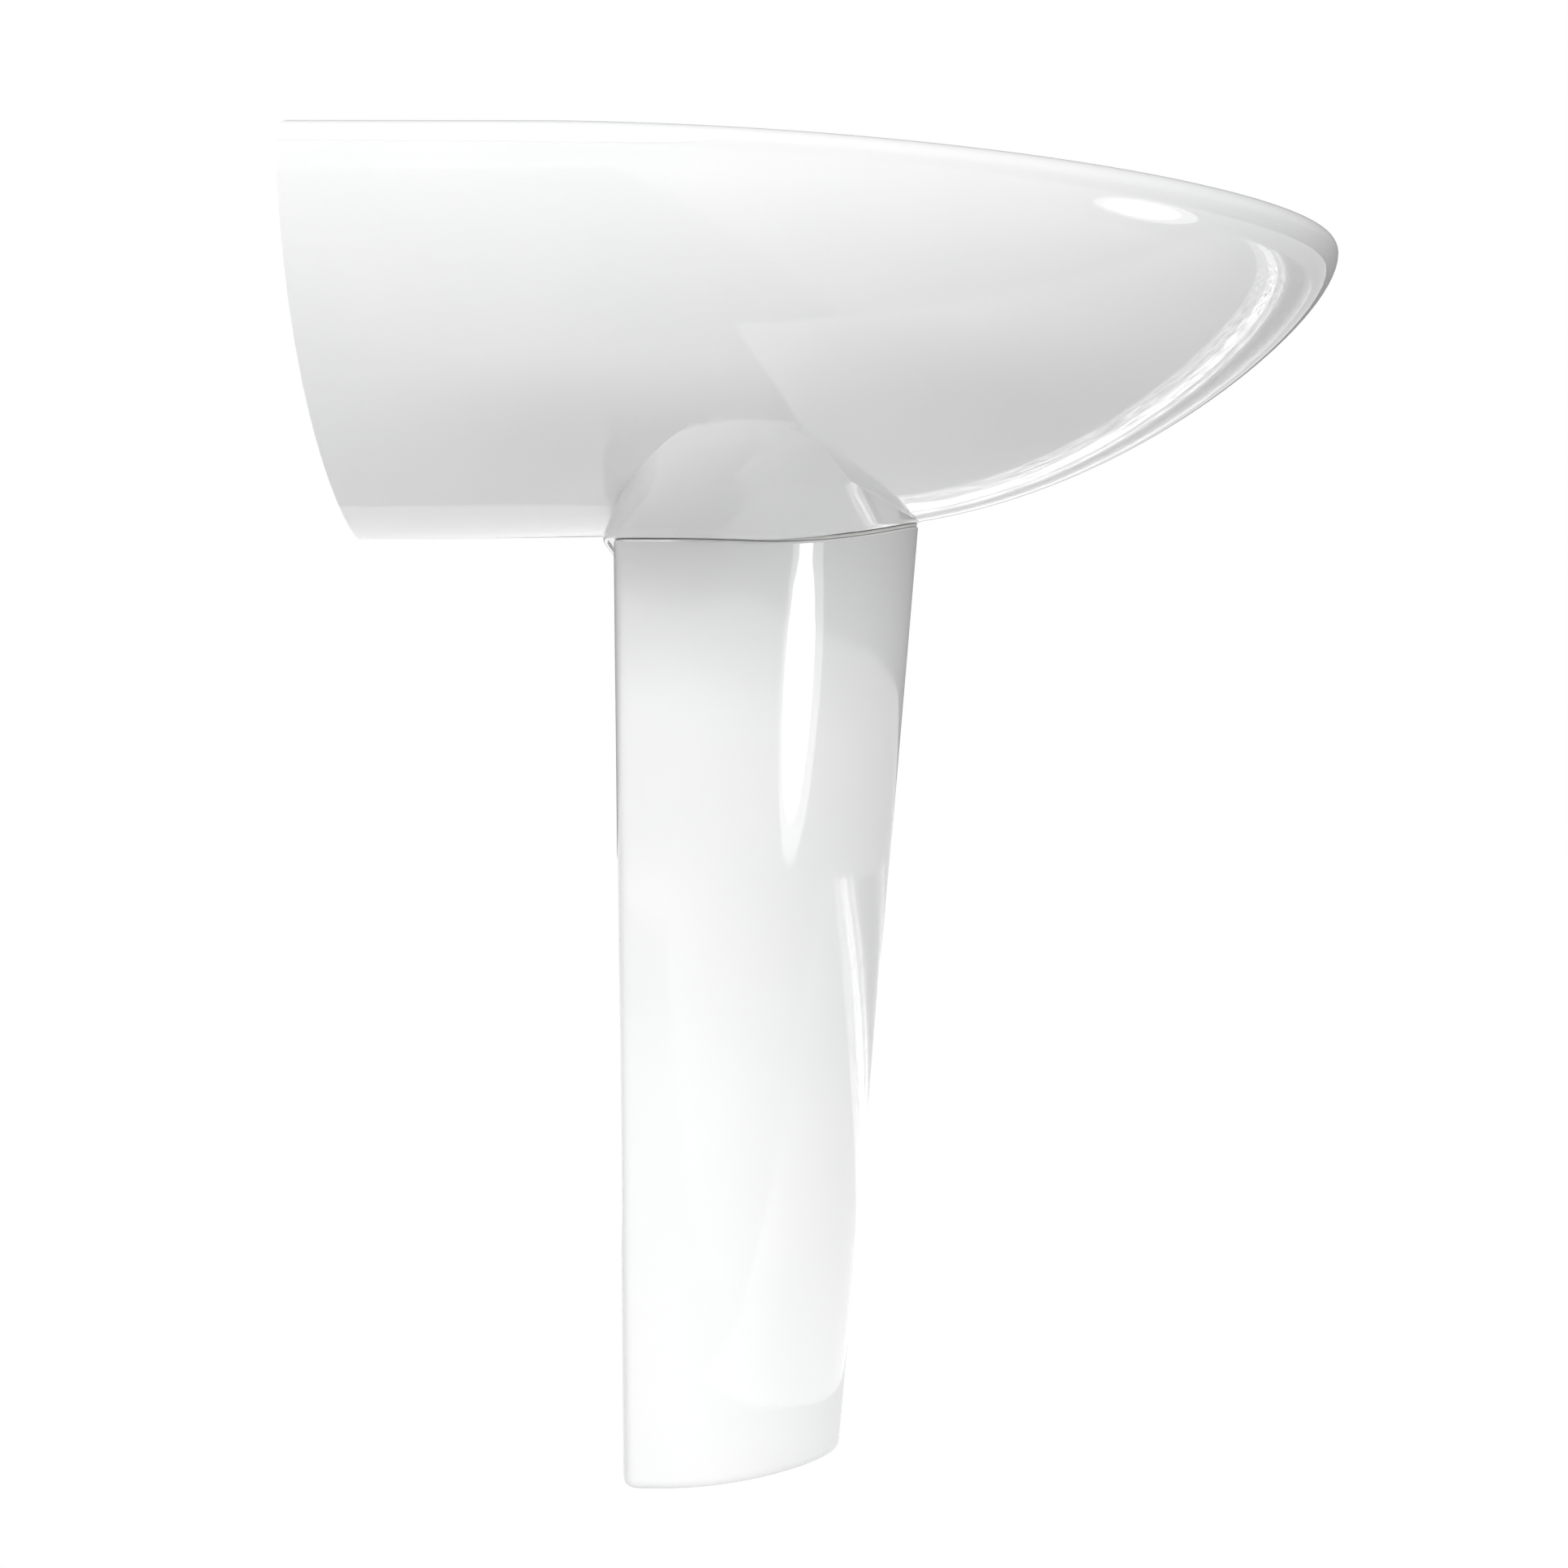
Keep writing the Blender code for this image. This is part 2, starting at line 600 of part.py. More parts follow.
def make_plug_spring(steel, turns=6, low=0.6130, high=0.6393, coil=0.0052, wire=0.0006):
    """A coil between the guide and the stem's collar, with a ring of wire points at each step."""
    steps, sides = turns * 11, 5
    rise = (high - low - 2 * wire) / steps
    bm = bmesh.new()
    rings = []
    for i in range(steps + 1):
        angle = 2 * math.pi * turns * i / steps
        out = Vector((math.cos(angle), math.sin(angle), 0))
        centre = out * coil + Vector((0, 0, low + wire + rise * i))
        angles = [2 * math.pi * k / sides for k in range(sides)]
        rings.append([centre + wire * (out * math.cos(a) + Vector((0, 0, math.sin(a)))) for a in angles])
    rows = loft(bm, rings)
    bm.faces.new(rows[0])
    bm.faces.new(rows[-1])
    spring = finish("plug_spring", bm, steel)
    spring.location.y = DRAIN_Y
    return spring


# ---------------------------------------------------------------- trap and pipe


def union_nut(name, look, thread, bore, low, high, lip_low, at=(0, DRAIN_Y, 0), along=(0, 0, 1)):
    """A slip nut: a wide bore on the thread's side and a lip with a small bore that grips the pipe."""
    outer = thread + 0.0045
    if lip_low:
        outline = [(bore, low), (outer, low), (outer, high), (thread, high), (thread, low + 0.0035)]
        outline += [(bore, low + 0.0035)]
    else:
        outline = [(thread, low), (outer, low), (outer, high), (bore, high), (bore, high - 0.0035)]
        outline += [(thread, high - 0.0035)]
    return turned(name, outline, look, at, along)


def make_trap(chrome, rubber):
    pipe = [(0.0145, 0.402), (PIPE_RADIUS, 0.402), (PIPE_RADIUS, 0.5739), (0.0205, 0.5739)]
    pipe += [(0.0205, 0.5755), (0.0145, 0.5755)]
    turned("inlet_pipe", pipe, chrome)
    turned("inlet_washer", ring_profile(0.0150, 0.0205, 0.5758, 0.5777), rubber)
    union_nut("inlet_nut", chrome, 0.0213, 0.0165, 0.5700, 0.5960, True)

    body = [(0.0164, 0.531), (0.0215, 0.531), (0.0215, 0.512), (0.0260, 0.5095), (0.0310, 0.504), (0.0310, 0.458)]
    body += [(0.0285, 0.458), (0.0285, 0.442), (0.0255, 0.442), (0.0255, 0.500), (0.0164, 0.506)]
    trap = turned("trap_body", body, chrome)
    at = (0, DRAIN_Y, OUTLET_Z)
    spigot = cylinder("trap_spigot", 0.0190, 0.0270, 0.0460, at, (0, 1, 0))
    spigot_bore = cylinder("trap_spigot_bore", 0.0164, 0.0200, 0.0500, at, (0, 1, 0))
    boolean(trap, "UNION", spigot)
    boolean(trap, "DIFFERENCE", spigot_bore)

    turned("trap_top_washer", ring_profile(0.0164, 0.0213, 0.5313, 0.5350), rubber)
    union_nut("trap_top_nut", chrome, 0.0219, 0.0166, 0.5165, 0.5390, False)

    cup = [(0, 0.384), (0.0260, 0.384), (0.0315, 0.3865), (0.0335, 0.392), (0.0335, 0.4555), (0.0289, 0.4555)]
    cup += [(0.0289, 0.438), (0.0262, 0.438), (0.0262, 0.394), (0.0220, 0.389), (0, 0.388)]
    turned("trap_cup", cup, chrome)
    turned("trap_cup_seal", ring_profile(0.0264, 0.0285, 0.4383, 0.4417), rubber)

    turned("outlet_washer", ring_profile(0.0164, 0.0190, 0.0463, 0.0505), rubber, at, (0, 1, 0))
    union_nut("outlet_nut", chrome, 0.0194, 0.0166, 0.0335, 0.0545, False, at, (0, 1, 0))


def make_outlet_bend(look, steps=7, sides=ROUND):
    """A bend from the trap's side outlet down into a socket that takes the floor pipe."""
    stations = [(0.0745, OUTLET_Z, 0.0, PIPE_RADIUS, PIPE_BORE)]
    for i in range(steps + 1):
        a = math.pi / 2 * i / steps
        y = BEND_START_Y + BEND_RADIUS * math.sin(a)
        z = OUTLET_Z - BEND_RADIUS * (1 - math.cos(a))
        stations.append((y, z, a, PIPE_RADIUS, PIPE_BORE))
    for z, outer, inner in ((0.450, 0.0160, 0.0142), (0.446, 0.0195, 0.0142), (0.4445, 0.0195, 0.0142)):
        stations.append((PIPE_Y, z, math.pi / 2, outer, inner))
    for z, inner in ((0.444, 0.0164), (0.418, 0.0164)):
        stations.append((PIPE_Y, z, math.pi / 2, 0.0195, inner))

    def ring(y, z, lean, radius):
        up = Vector((0, math.sin(lean), math.cos(lean)))
        points = []
        for k in range(sides):
            a = 2 * math.pi * k / sides
            points.append(Vector((radius * math.sin(a), y, z)) + up * radius * math.cos(a))
        return points

    outside = [ring(y, z, lean, outer) for y, z, lean, outer, _ in stations]
    inside = [ring(y, z, lean, inner) for y, z, lean, _, inner in stations]
    bm = bmesh.new()
    loft(bm, outside + list(reversed(inside)) + [outside[0]])
    return finish("outlet_bend", bm, look)


def make_floor_pipe(look, chrome):
    at = (0, PIPE_Y, 0)
    turned("floor_pipe", ring_profile(PIPE_BORE, PIPE_RADIUS, 0.0, 0.4435), look, at)
    rosette = [(0.0165, 0.0), (0.0245, 0.0), (0.0245, 0.0015), (0.0215, 0.0045), (0.0180, 0.0060), (0.0165, 0.0060)]
    turned("floor_rosette", rosette, chrome, at)


def main():
    clear_scene()
    china = material("glazed_white", (0.93, 0.93, 0.93), 0.06)
    rubber = material("black_rubber", (0.03, 0.03, 0.03), 0.7)
    silicone = material("white_silicone", (0.85, 0.85, 0.83), 0.5)
    chrome = material("chrome", (0.85, 0.86, 0.88), 0.07, 1.0)
    steel = material("stainless_steel", (0.62, 0.62, 0.63), 0.3, 1.0)
    plastic = material("white_plastic", (0.86, 0.86, 0.84), 0.35)
    make_basin(china)
    make_pedestal(china)
    make_collar_seal(silicone)
    make_overflow_ring(chrome)
    make_waste(chrome, rubber, steel)
    make_plug(chrome, rubber, steel, plastic)
    make_plug_spring(steel)
    make_trap(chrome, rubber)
    make_outlet_bend(plastic)
    make_floor_pipe(plastic, chrome)


main()
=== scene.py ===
"""Looks of the pedestal sink: glazed china, chrome waste and trap, plastic pipe, white studio."""

import json
import math

import bmesh
import bpy
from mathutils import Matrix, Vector


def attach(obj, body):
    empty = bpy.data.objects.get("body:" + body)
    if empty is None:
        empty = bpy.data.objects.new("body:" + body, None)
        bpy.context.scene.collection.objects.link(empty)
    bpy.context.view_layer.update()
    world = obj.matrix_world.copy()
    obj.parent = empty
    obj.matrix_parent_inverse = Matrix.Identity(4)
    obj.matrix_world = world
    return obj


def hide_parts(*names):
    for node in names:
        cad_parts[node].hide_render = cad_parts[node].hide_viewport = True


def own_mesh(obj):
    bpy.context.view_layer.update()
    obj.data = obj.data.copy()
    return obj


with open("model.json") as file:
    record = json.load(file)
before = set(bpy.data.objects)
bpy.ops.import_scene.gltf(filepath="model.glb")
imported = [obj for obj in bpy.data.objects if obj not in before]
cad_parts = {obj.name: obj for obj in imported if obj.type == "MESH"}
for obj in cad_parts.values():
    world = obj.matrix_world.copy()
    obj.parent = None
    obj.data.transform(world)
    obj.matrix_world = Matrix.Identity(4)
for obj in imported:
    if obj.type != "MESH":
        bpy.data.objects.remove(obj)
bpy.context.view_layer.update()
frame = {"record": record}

# Basin outside, metres: the same figures as the CAD part
RIM_HEIGHT = 0.800
HALF_WIDTH = 0.299
BACK_Y = 0.320
KEEL_BACK_Z = 0.595
KEEL_FRONT_Y = 0.150
FRONT_DROP = 0.0075
STRAIGHT_SHARE = 0.23
BACK_LIP = 0.0075
FRONT_LIP = 0.0130
CHINA = 0.011
DECK = 0.013

# Bowl
BOWL_BACK_Y = 0.188
BOWL_FRONT_Y = -0.272
BOWL_WIDEST_Y = 0.100
BOWL_HALF = 0.240
BOWL_FLOOR = 0.655
BOWL_LIP = 0.008
BOWL_PROFILE = ((0.0, BOWL_FLOOR), (0.42, 0.6545), (0.84, 0.668), (1.0, RIM_HEIGHT - BOWL_LIP))
DUCT_START = 0.16
OVERFLOW_AT = 0.920
OVERFLOW_RADIUS = 0.0120
OVERFLOW_SEAT = 0.0008
DRAIN_RING = 0.024
DRAIN_Y = 0.036
# How far off a second point is taken, to find which way the wall runs
NEAR = 0.01

# Openings
TAP_HOLE_RADIUS = 0.0175
TAP_HOLE_Y = 0.252
WALL_BOLT_X = 0.140
WALL_BOLT_Z = 0.745
WALL_BOLT_RADIUS = 0.007
WINDOW_HALF = 0.105
WINDOW_LOW = 0.652
WINDOW_HIGH = 0.748
WASTE_HOLE_RADIUS = 0.0225
RECESS_RADIUS = 0.0330
RECESS = 0.003
PAD_BOTTOM = 0.625

# Collar and pedestal
JOINT_Z = 0.587
JOINT_RISE = 0.0195
JOINT_RISE_FROM = 0.060
COLLAR_FRONT = -0.0475
COLLAR_BACK = 0.1545
COLLAR_BACK_SHIFT = 0.015
COLLAR_HALF = 0.132
COLLAR_FLARE = 0.038
COLLAR_FLARE_RISE = 0.0618
COLLAR_FULL_RISE = 0.075
COLLAR_WIDEST_Y = 0.120
COLLAR_WIDEST_SHIFT = 0.026
COLLAR_EDGE = 0.0025
COLLAR_EDGE_INWARDS = 0.0015
COLLAR_LIP = 0.0023
COLLAR_TOP_RISE = 0.0635
SEAL = 0.0020
FOOT_HALF = 0.107
TOP_HALF = 0.128
FOOT_FRONT = 0.006
FRONT_LEAN = 0.089
FOOT_BACK = 0.142
TOP_BACK = 0.147
WALL = 0.010
FLANGE = 0.028
FLANGE_HEIGHT = 0.012
BACK_OPENING_HALF = 0.075
BACK_OPENING_TOP = 0.545
NOSE_RADIUS = 0.010
FOOT_SCREW = (0.086, 0.104)
FOOT_SCREW_RADIUS = 0.0035
FOOT_EDGE = 0.006
TOP_EDGE = 0.0015
GAP = 0.0003

# Waste, trap and pipe
OUTLET_Z = 0.484
BEND_START_Y = 0.091
BEND_RADIUS = 0.024
PIPE_Y = BEND_START_Y + BEND_RADIUS
PIPE_RADIUS = 0.0160
PIPE_BORE = 0.0142
SLEEVE_BORE = 0.0164
WASTE_THREAD = 0.0209
TRAP_THREAD = 0.0215
SPIGOT_THREAD = 0.0190
THREAD_STEP = 0.00025
HEX_HALF = 0.0275
HEX_HEIGHT = 0.009
CUP_RADIUS = 0.0335
SOCKET_RADIUS = 0.0195
PLUG_TRAVEL = 0.008

UP = (0, 0, 1)
ALONG_Y = (0, 1, 0)
DRAIN = (0, DRAIN_Y, 0)

# How finely things are meshed
ROUND = 96
HULL_COLUMNS = 80
SHIELD_COLUMNS = 48
CORNER_STEPS = 18
SMOOTH_ANGLE = 32
# Cutters are turned a little, so that their edges never fall on the edges of what they cut
CUTTER_PHASE = 0.37

# Slots in a china mesh
GLAZED, BARE = 0, 1

# Stage
FLOOR_GLOW = 0.97
FLOOR_SHADE = 0.35
BOARD_SHADE = 0.82
FLAG_SHADE = 0.01
FLOOR_Z = -0.0008
BOARD_Z = -0.0004
CARD_Z = 0.0006
FLOOR = ((-14, -14), (14, 14))
BOARD = ((-2.8, -0.28), (0.8, 1.9))
CARD = ((-0.30, -3.2), (3.4, -0.10))
CARD_BEND = 0.05
# Brightness of the card's bands, by how far beyond the basin they lie
CARD_BANDS = (
    (0.0, 0.97), (0.63, 0.97), (0.65, 1.9), (0.84, 1.9), (0.86, 3.2), (1.04, 3.2),
    (1.07, 1.2), (1.24, 2.2), (1.29, 0.9), (1.50, 0.3), (2.2, 0.4), (3.4, 1.3),
)
STREAKS_FROM = (0.63, 0.67)
STREAK_STRETCH = (58.0, 11.0, 1.0)
STREAK_DEPTH = 0.9
# Two opposite corners of each upright strip: x, y, z
FLAGS = (
    ((-0.40, -0.20, 0.670), (-0.40, 0.02, 0.712)),
    ((-0.40, 0.00, 0.605), (-0.40, 0.24, 0.683)),
    ((-0.70, 0.00, 0.555), (-0.70, 0.50, 0.590)),
)
SKY = (0.33, 0.33, 0.33)
GROUND = (0.0, 0.0, 0.0)
HORIZON = (0.38, 0.50)
# Place, target, size and power; a name ending in _fill is left out of reflections
SOFTBOXES = {
    "overhead": ((-1.2, 0.2, 3.1), (0, 0, 0.6), (1.2, 1.2), 12),
    "overhead_camera": ((-2.2, 0.2, 2.8), (0, 0, 0.6), (2.0, 1.6), 6),
    "camera_side": ((-3.4, 0.2, 1.3), (0, 0, 0.5), (2.6, 1.2), 64),
    "wall_side": ((2.4, 2.6, 2.2), (0, 0.1, 0.6), (2.2, 1.8), 30),
    "right_fill": ((3.1, -0.9, 1.4), (0, 0, 0.6), (2.2, 1.6), 46),
    "front_fill": ((-0.9, -2.2, 2.0), (0, 0, 0.7), (1.6, 1.2), 8),
    "front_box": ((-0.76, -2.0, 0.38), (-0.1, 0, 0.50), (0.46, 0.36), 2.8),
    "front_halo": ((-0.73, -2.02, 0.38), (-0.1, 0, 0.50), (0.66, 0.48), 1.6),
}


# ---------------------------------------------------------------- materials


class Nodes:
    """A material's node tree, with short calls for what the looks share."""

    def __init__(self, name):
        self.material = bpy.data.materials.new(name)
        self.material.use_nodes = True
        self.tree = self.material.node_tree
        self.shader = self.tree.nodes["Principled BSDF"]
        self.place = self.add("ShaderNodeTexCoord").outputs["Object"]

    def add(self, kind, **settings):
        node = self.tree.nodes.new(kind)
        for key, value in settings.items():
            setattr(node, key, value)
        return node

    def link(self, source, target):
        self.tree.links.new(source, target)

    def noise(self, scale, detail=3.0, roughness=0.5, stretch=None, distortion=0.0):
        node = self.add("ShaderNodeTexNoise")
        node.inputs["Scale"].default_value = scale
        node.inputs["Detail"].default_value = detail
        node.inputs["Roughness"].default_value = roughness
        node.inputs["Distortion"].default_value = distortion
        source = self.place
        if stretch:
            mapping = self.add("ShaderNodeMapping")
            mapping.inputs["Scale"].default_value = stretch
            self.link(self.place, mapping.inputs["Vector"])
            source = mapping.outputs["Vector"]
        self.link(source, node.inputs["Vector"])
        return node.outputs["Fac"]

    def span(self, source, low, high, start=0.3, end=0.7):
        node = self.add("ShaderNodeMapRange")
        node.inputs["From Min"].default_value = start
        node.inputs["From Max"].default_value = end
        node.inputs["To Min"].default_value = low
        node.inputs["To Max"].default_value = high
        self.link(source, node.inputs["Value"])
        return node.outputs["Result"]

    def ramp(self, source, *stops):
        node = self.add("ShaderNodeValToRGB")
        elements = node.color_ramp.elements
        while len(elements) < len(stops):
            elements.new(0.5)
        for element, (at, colour) in zip(elements, stops):
            element.position = at
            element.color = (*colour, 1.0)
        self.link(source, node.inputs["Fac"])
        return node.outputs["Color"]

    def bump(self, source, height, strength=1.0, after=None):
        node = self.add("ShaderNodeBump")
        node.inputs["Distance"].default_value = height
        node.inputs["Strength"].default_value = strength
        self.link(source, node.inputs["Height"])
        if after is not None:
            self.link(after, node.inputs["Normal"])
        return node.outputs["Normal"]

    def combine(self, operation, *values):
        node = self.add("ShaderNodeMath", operation=operation)
        for socket, value in zip(node.inputs, values):
            if isinstance(value, float):
                socket.default_value = value
            else:
                self.link(value, socket)
        return node.outputs["Value"]

    def wear(self, colour=None, roughness=None, normal=None, **constants):
        for name, value in constants.items():
            self.shader.inputs[name.replace("_", " ")].default_value = value
        links = (("Base Color", colour), ("Roughness", roughness), ("Normal", normal))
        for socket, source in links:
            if source is not None:
                self.link(source, self.shader.inputs[socket])
        return self.material


def glaze():
    """White glaze: nearly even colour, mirror-like, with the slow waves a fired glaze keeps."""
    n = Nodes("glaze")
    tone = n.ramp(n.noise(5.0, 2.0), (0.3, (0.895, 0.900, 0.905)), (0.7, (0.925, 0.925, 0.922)))
    rough = n.span(n.noise(30.0, 4.0), 0.025, 0.055)
    waves = n.bump(n.noise(22.0, 1.5, 0.4), 0.00022, 0.5)
    skin = n.bump(n.noise(260.0, 2.0, 0.5), 0.00002, 0.35, waves)
    return n.wear(tone, rough, skin, IOR=1.52, Coat_Weight=0.35, Coat_Roughness=0.03)


def biscuit():
    """Unglazed china on faces that meet the wall or the floor and inside the hollow."""
    n = Nodes("biscuit")
    tone = n.ramp(n.noise(35.0, 5.0, 0.65), (0.3, (0.74, 0.725, 0.69)), (0.7, (0.83, 0.82, 0.79)))
    rough = n.span(n.noise(80.0, 4.0), 0.55, 0.8)
    grain = n.bump(n.noise(420.0, 5.0, 0.7), 0.00025, 0.5)
    return n.wear(tone, rough, grain)


def chrome():
    n = Nodes("chrome_plate")
    tone = n.ramp(n.noise(14.0, 3.0), (0.3, (0.78, 0.79, 0.81)), (0.7, (0.86, 0.87, 0.89)))
    rough = n.span(n.noise(45.0, 6.0, 0.65), 0.035, 0.14, 0.35, 0.75)
    skin = n.bump(n.noise(180.0, 3.0), 0.00003, 0.4)
    return n.wear(tone, rough, skin, Metallic=1.0)


def steel():
    n = Nodes("drawn_steel")
    lines = n.noise(90.0, 4.0, 0.6, (1.0, 1.0, 14.0))
    tone = n.ramp(lines, (0.3, (0.50, 0.50, 0.51)), (0.7, (0.68, 0.68, 0.69)))
    rough = n.span(lines, 0.2, 0.38)
    skin = n.bump(lines, 0.00006, 0.5)
    return n.wear(tone, rough, skin, Metallic=1.0)


def rubber():
    n = Nodes("moulded_rubber")
    tone = n.ramp(n.noise(60.0, 4.0), (0.3, (0.018, 0.018, 0.019)), (0.7, (0.045, 0.045, 0.047)))
    rough = n.span(n.noise(140.0, 3.0), 0.5, 0.75)
    skin = n.bump(n.noise(700.0, 4.0, 0.6), 0.0001, 0.4)
    return n.wear(tone, rough, skin)


def silicone():
    n = Nodes("white_seal")
    tone = n.ramp(n.noise(40.0, 3.0), (0.3, (0.74, 0.74, 0.72)), (0.7, (0.82, 0.82, 0.80)))
    rough = n.span(n.noise(90.0, 3.0), 0.3, 0.5)
    skin = n.bump(n.noise(300.0, 3.0), 0.0001, 0.4)
    return n.wear(tone, rough, skin)


def plastic():
    n = Nodes("moulded_plastic")
    tone = n.ramp(n.noise(18.0, 3.0), (0.3, (0.80, 0.80, 0.775)), (0.7, (0.86, 0.86, 0.84)))
    rough = n.span(n.noise(70.0, 4.0), 0.28, 0.42)
    skin = n.bump(n.noise(900.0, 3.0, 0.6), 0.00005, 0.4)
    return n.wear(tone, rough, skin)


LOOKS = {
    "glazed_white": glaze(),
    "white_silicone": silicone(),
    "black_rubber": rubber(),
    "chrome": chrome(),
    "stainless_steel": steel(),
    "white_plastic": plastic(),
}
BISCUIT = biscuit()
SLOT_OF = {part["node"]: part["material_slot"] for part in frame["record"]["subparts"]}


# ---------------------------------------------------------------- mesh tools


def clamped(value):
    return min(1.0, max(0.0, value))


def bezier(points, t):
    last = len(points) - 1
    weights = [math.comb(last, k) * (1 - t) ** (last - k) * t**k for k in range(last + 1)]
    return [sum(w * p[axis] for w, p in zip(weights, points)) for axis in range(len(points[0]))]


def curve(points, steps, first=0):
    return [tuple(bezier(points, k / steps)) for k in range(first, steps + 1)]


def smooth(mesh, angle=SMOOTH_ANGLE):
    mesh.shade_smooth()
    mesh.set_sharp_from_angle(angle=math.radians(angle))


def finish(name, bm, smooth_angle=SMOOTH_ANGLE, material_index=GLAZED):
    bmesh.ops.remove_doubles(bm, verts=bm.verts, dist=1e-6)
    bmesh.ops.dissolve_degenerate(bm, dist=1e-6, edges=bm.edges)
    bmesh.ops.recalc_face_normals(bm, faces=bm.faces)
    for face in bm.faces:
        face.material_index = material_index
    mesh = bpy.data.meshes.new(name)
    bm.to_mesh(mesh)
    bm.free()
    smooth(mesh, smooth_angle)
    obj = bpy.data.objects.new(name, mesh)
    bpy.context.scene.collection.objects.link(obj)
    return obj


def cut(obj, operation, *others):
    """Applies Booleans one after another and removes the cutters."""
    for other in others:
        modifier = obj.modifiers.new(operation, "BOOLEAN")
        modifier.operation = operation
        modifier.solver = "EXACT"
        modifier.object = other
        bpy.context.view_layer.update()
        graph = bpy.context.evaluated_depsgraph_get()
        result = bpy.data.meshes.new_from_object(obj.evaluated_get(graph))
        obj.modifiers.clear()
        obj.data = result
        bpy.data.objects.remove(other)


def leave_bare(obj, where=lambda polygon: True):
    """Gives the faces that the glaze doesn't reach the slot of the bare china."""
    for polygon in obj.data.polygons:
        if where(polygon):
            polygon.material_index = BARE


def loft(bm, rings):
    rows = [[bm.verts.new(point) for point in ring] for ring in rings]
    for low, high in zip(rows, rows[1:]):
        for i in range(len(low)):
            j = (i + 1) % len(low)
            bm.faces.new((low[i], low[j], high[j], high[i]))
    return rows


def closed_loft(rings):
    bm = bmesh.new()
    rows = loft(bm, rings)
    bm.faces.new(rows[0])
    bm.faces.new(rows[-1])
    return bm


def mirrored(half_ring, first=0):
    return half_ring + [(-x, y, z) for x, y, z in reversed(half_ring[first:-1])]


def strip_cap(bm, row):
    count = len(row)
    shift = 0 if abs(row[0].co.x) < 1e-9 else 1
    for i in range(count // 2):
        ends = [row[i], row[i + 1], row[count - 1 - i - shift], row[(count - i - shift) % count]]
        corners = list(dict.fromkeys(ends))
        if len(corners) > 2:
            bm.faces.new(corners)


def capped_loft(rings):
    bm = bmesh.new()
    rows = loft(bm, rings)
    strip_cap(bm, rows[0])
    strip_cap(bm, rows[-1])
    return bm


def rounded(outline, radius, steps=4):
    """The closed outline with every corner off the axis rounded, as far as its edges leave room."""
    result = []
    count = len(outline)
    for i, here in enumerate(outline):
        here = Vector(here)
        before, after = Vector(outline[i - 1]), Vector(outline[(i + 1) % count])
        if here.x < 1e-9 or radius <= 0:
            result.append(tuple(here))
            continue
        back, ahead = before - here, after - here
        if back.angle(ahead) > 3.0:
            result.append(tuple(here))
            continue
        reach = min(radius, 0.42 * back.length, 0.42 * ahead.length)
        start, end = here + back.normalized() * reach, here + ahead.normalized() * reach
        for k in range(steps + 1):
            result.append(tuple(bezier((start, here, end), k / steps)))
    return result


def place(obj, at, along):
    obj.location = at
    obj.rotation_euler = Vector(UP).rotation_difference(Vector(along)).to_euler()
    return obj


def turned(
    name, outline, at=DRAIN, along=UP, segments=ROUND, shape=None, phase=0.0, edge=0.0
):
    """A solid of revolution of a closed (radius, z) outline.

    shape may change the radius round the axis; edge rounds the outline's corners.
    """
    if edge:
        outline = rounded(outline, edge)
    bm = bmesh.new()
    rings = []
    for step in range(segments):
        angle = 2 * math.pi * (step + phase) / segments
        ring = []
        for radius, z in outline:
            if shape:
                radius = shape(radius, z, angle)
            ring.append((radius * math.cos(angle), radius * math.sin(angle), z))
        rings.append(ring)
    loft(bm, rings + [rings[0]])
    return place(finish(name, bm), at, along)


def cylinder(name, radius, low, high, at=DRAIN, along=UP, segments=64, mouth=0.0):
    """A cutter. A mouth flares its upper end at z = 0, like the edge of a glazed hole."""
    outline = [(0, low), (radius, low)]
    if mouth:
        for k in range(7):
            a = math.pi / 2 * k / 6
            outline.append((radius + mouth * (1 - math.cos(a)), -mouth * (1 - math.sin(a))))
    outline += [(radius + mouth, high), (0, high)]
    return turned(name, outline, at, along, segments, phase=CUTTER_PHASE)


def ring_profile(bore, radius, low, high):
    return [(bore, low), (radius, low), (radius, high), (bore, high)]


def spaced(radius, low, high, step):
    """Points up a straight wall, close enough together for a thread or grooves to shape it."""
    count = max(1, round(abs(high - low) / step))
    return [(radius, low + (high - low) * i / count) for i in range(count + 1)]


def threaded(outer, low, high, pitch=0.0018, depth=0.0006):
    """A shape for turned(): a screw thread cut into the outer wall between two heights."""

    def shape(radius, z, angle):
        if radius > outer - 0.0002 and low < z < high:
            fade = min(1.0, (z - low) / pitch, (high - z) / pitch)
            radius -= depth * fade * (0.5 + 0.5 * math.cos(2 * math.pi * z / pitch - angle))
        return radius

    return shape


def fluted(outer, count, depth, low, high, power=4, run_out=0.0006):
    """A shape for turned(): grip notches round the outside, for a hand or a strap wrench."""

    def shape(radius, z, angle):
        if radius > outer - 0.0012 and low < z < high:
            ease = min(1.0, (z - low) / run_out, (high - z) / run_out)
            radius -= depth * ease * abs(math.cos(count * angle / 2)) ** power
        return radius

    return shape


def hexagonal(flat, low, high, chamfer=0.0015):
    """A shape for turned(): six spanner flats with the corners turned off at both ends."""

    def shape(radius, z, angle):
        if radius < flat - chamfer:
            return radius
        off = (angle + math.pi / 6) % (math.pi / 3) - math.pi / 6
        corner = flat / math.cos(math.pi / 6)
        bevel = corner - 1.7 * max(0.0, chamfer - min(z - low, high - z))
        return min(flat / math.cos(off) - (flat - radius), bevel)

    return shape


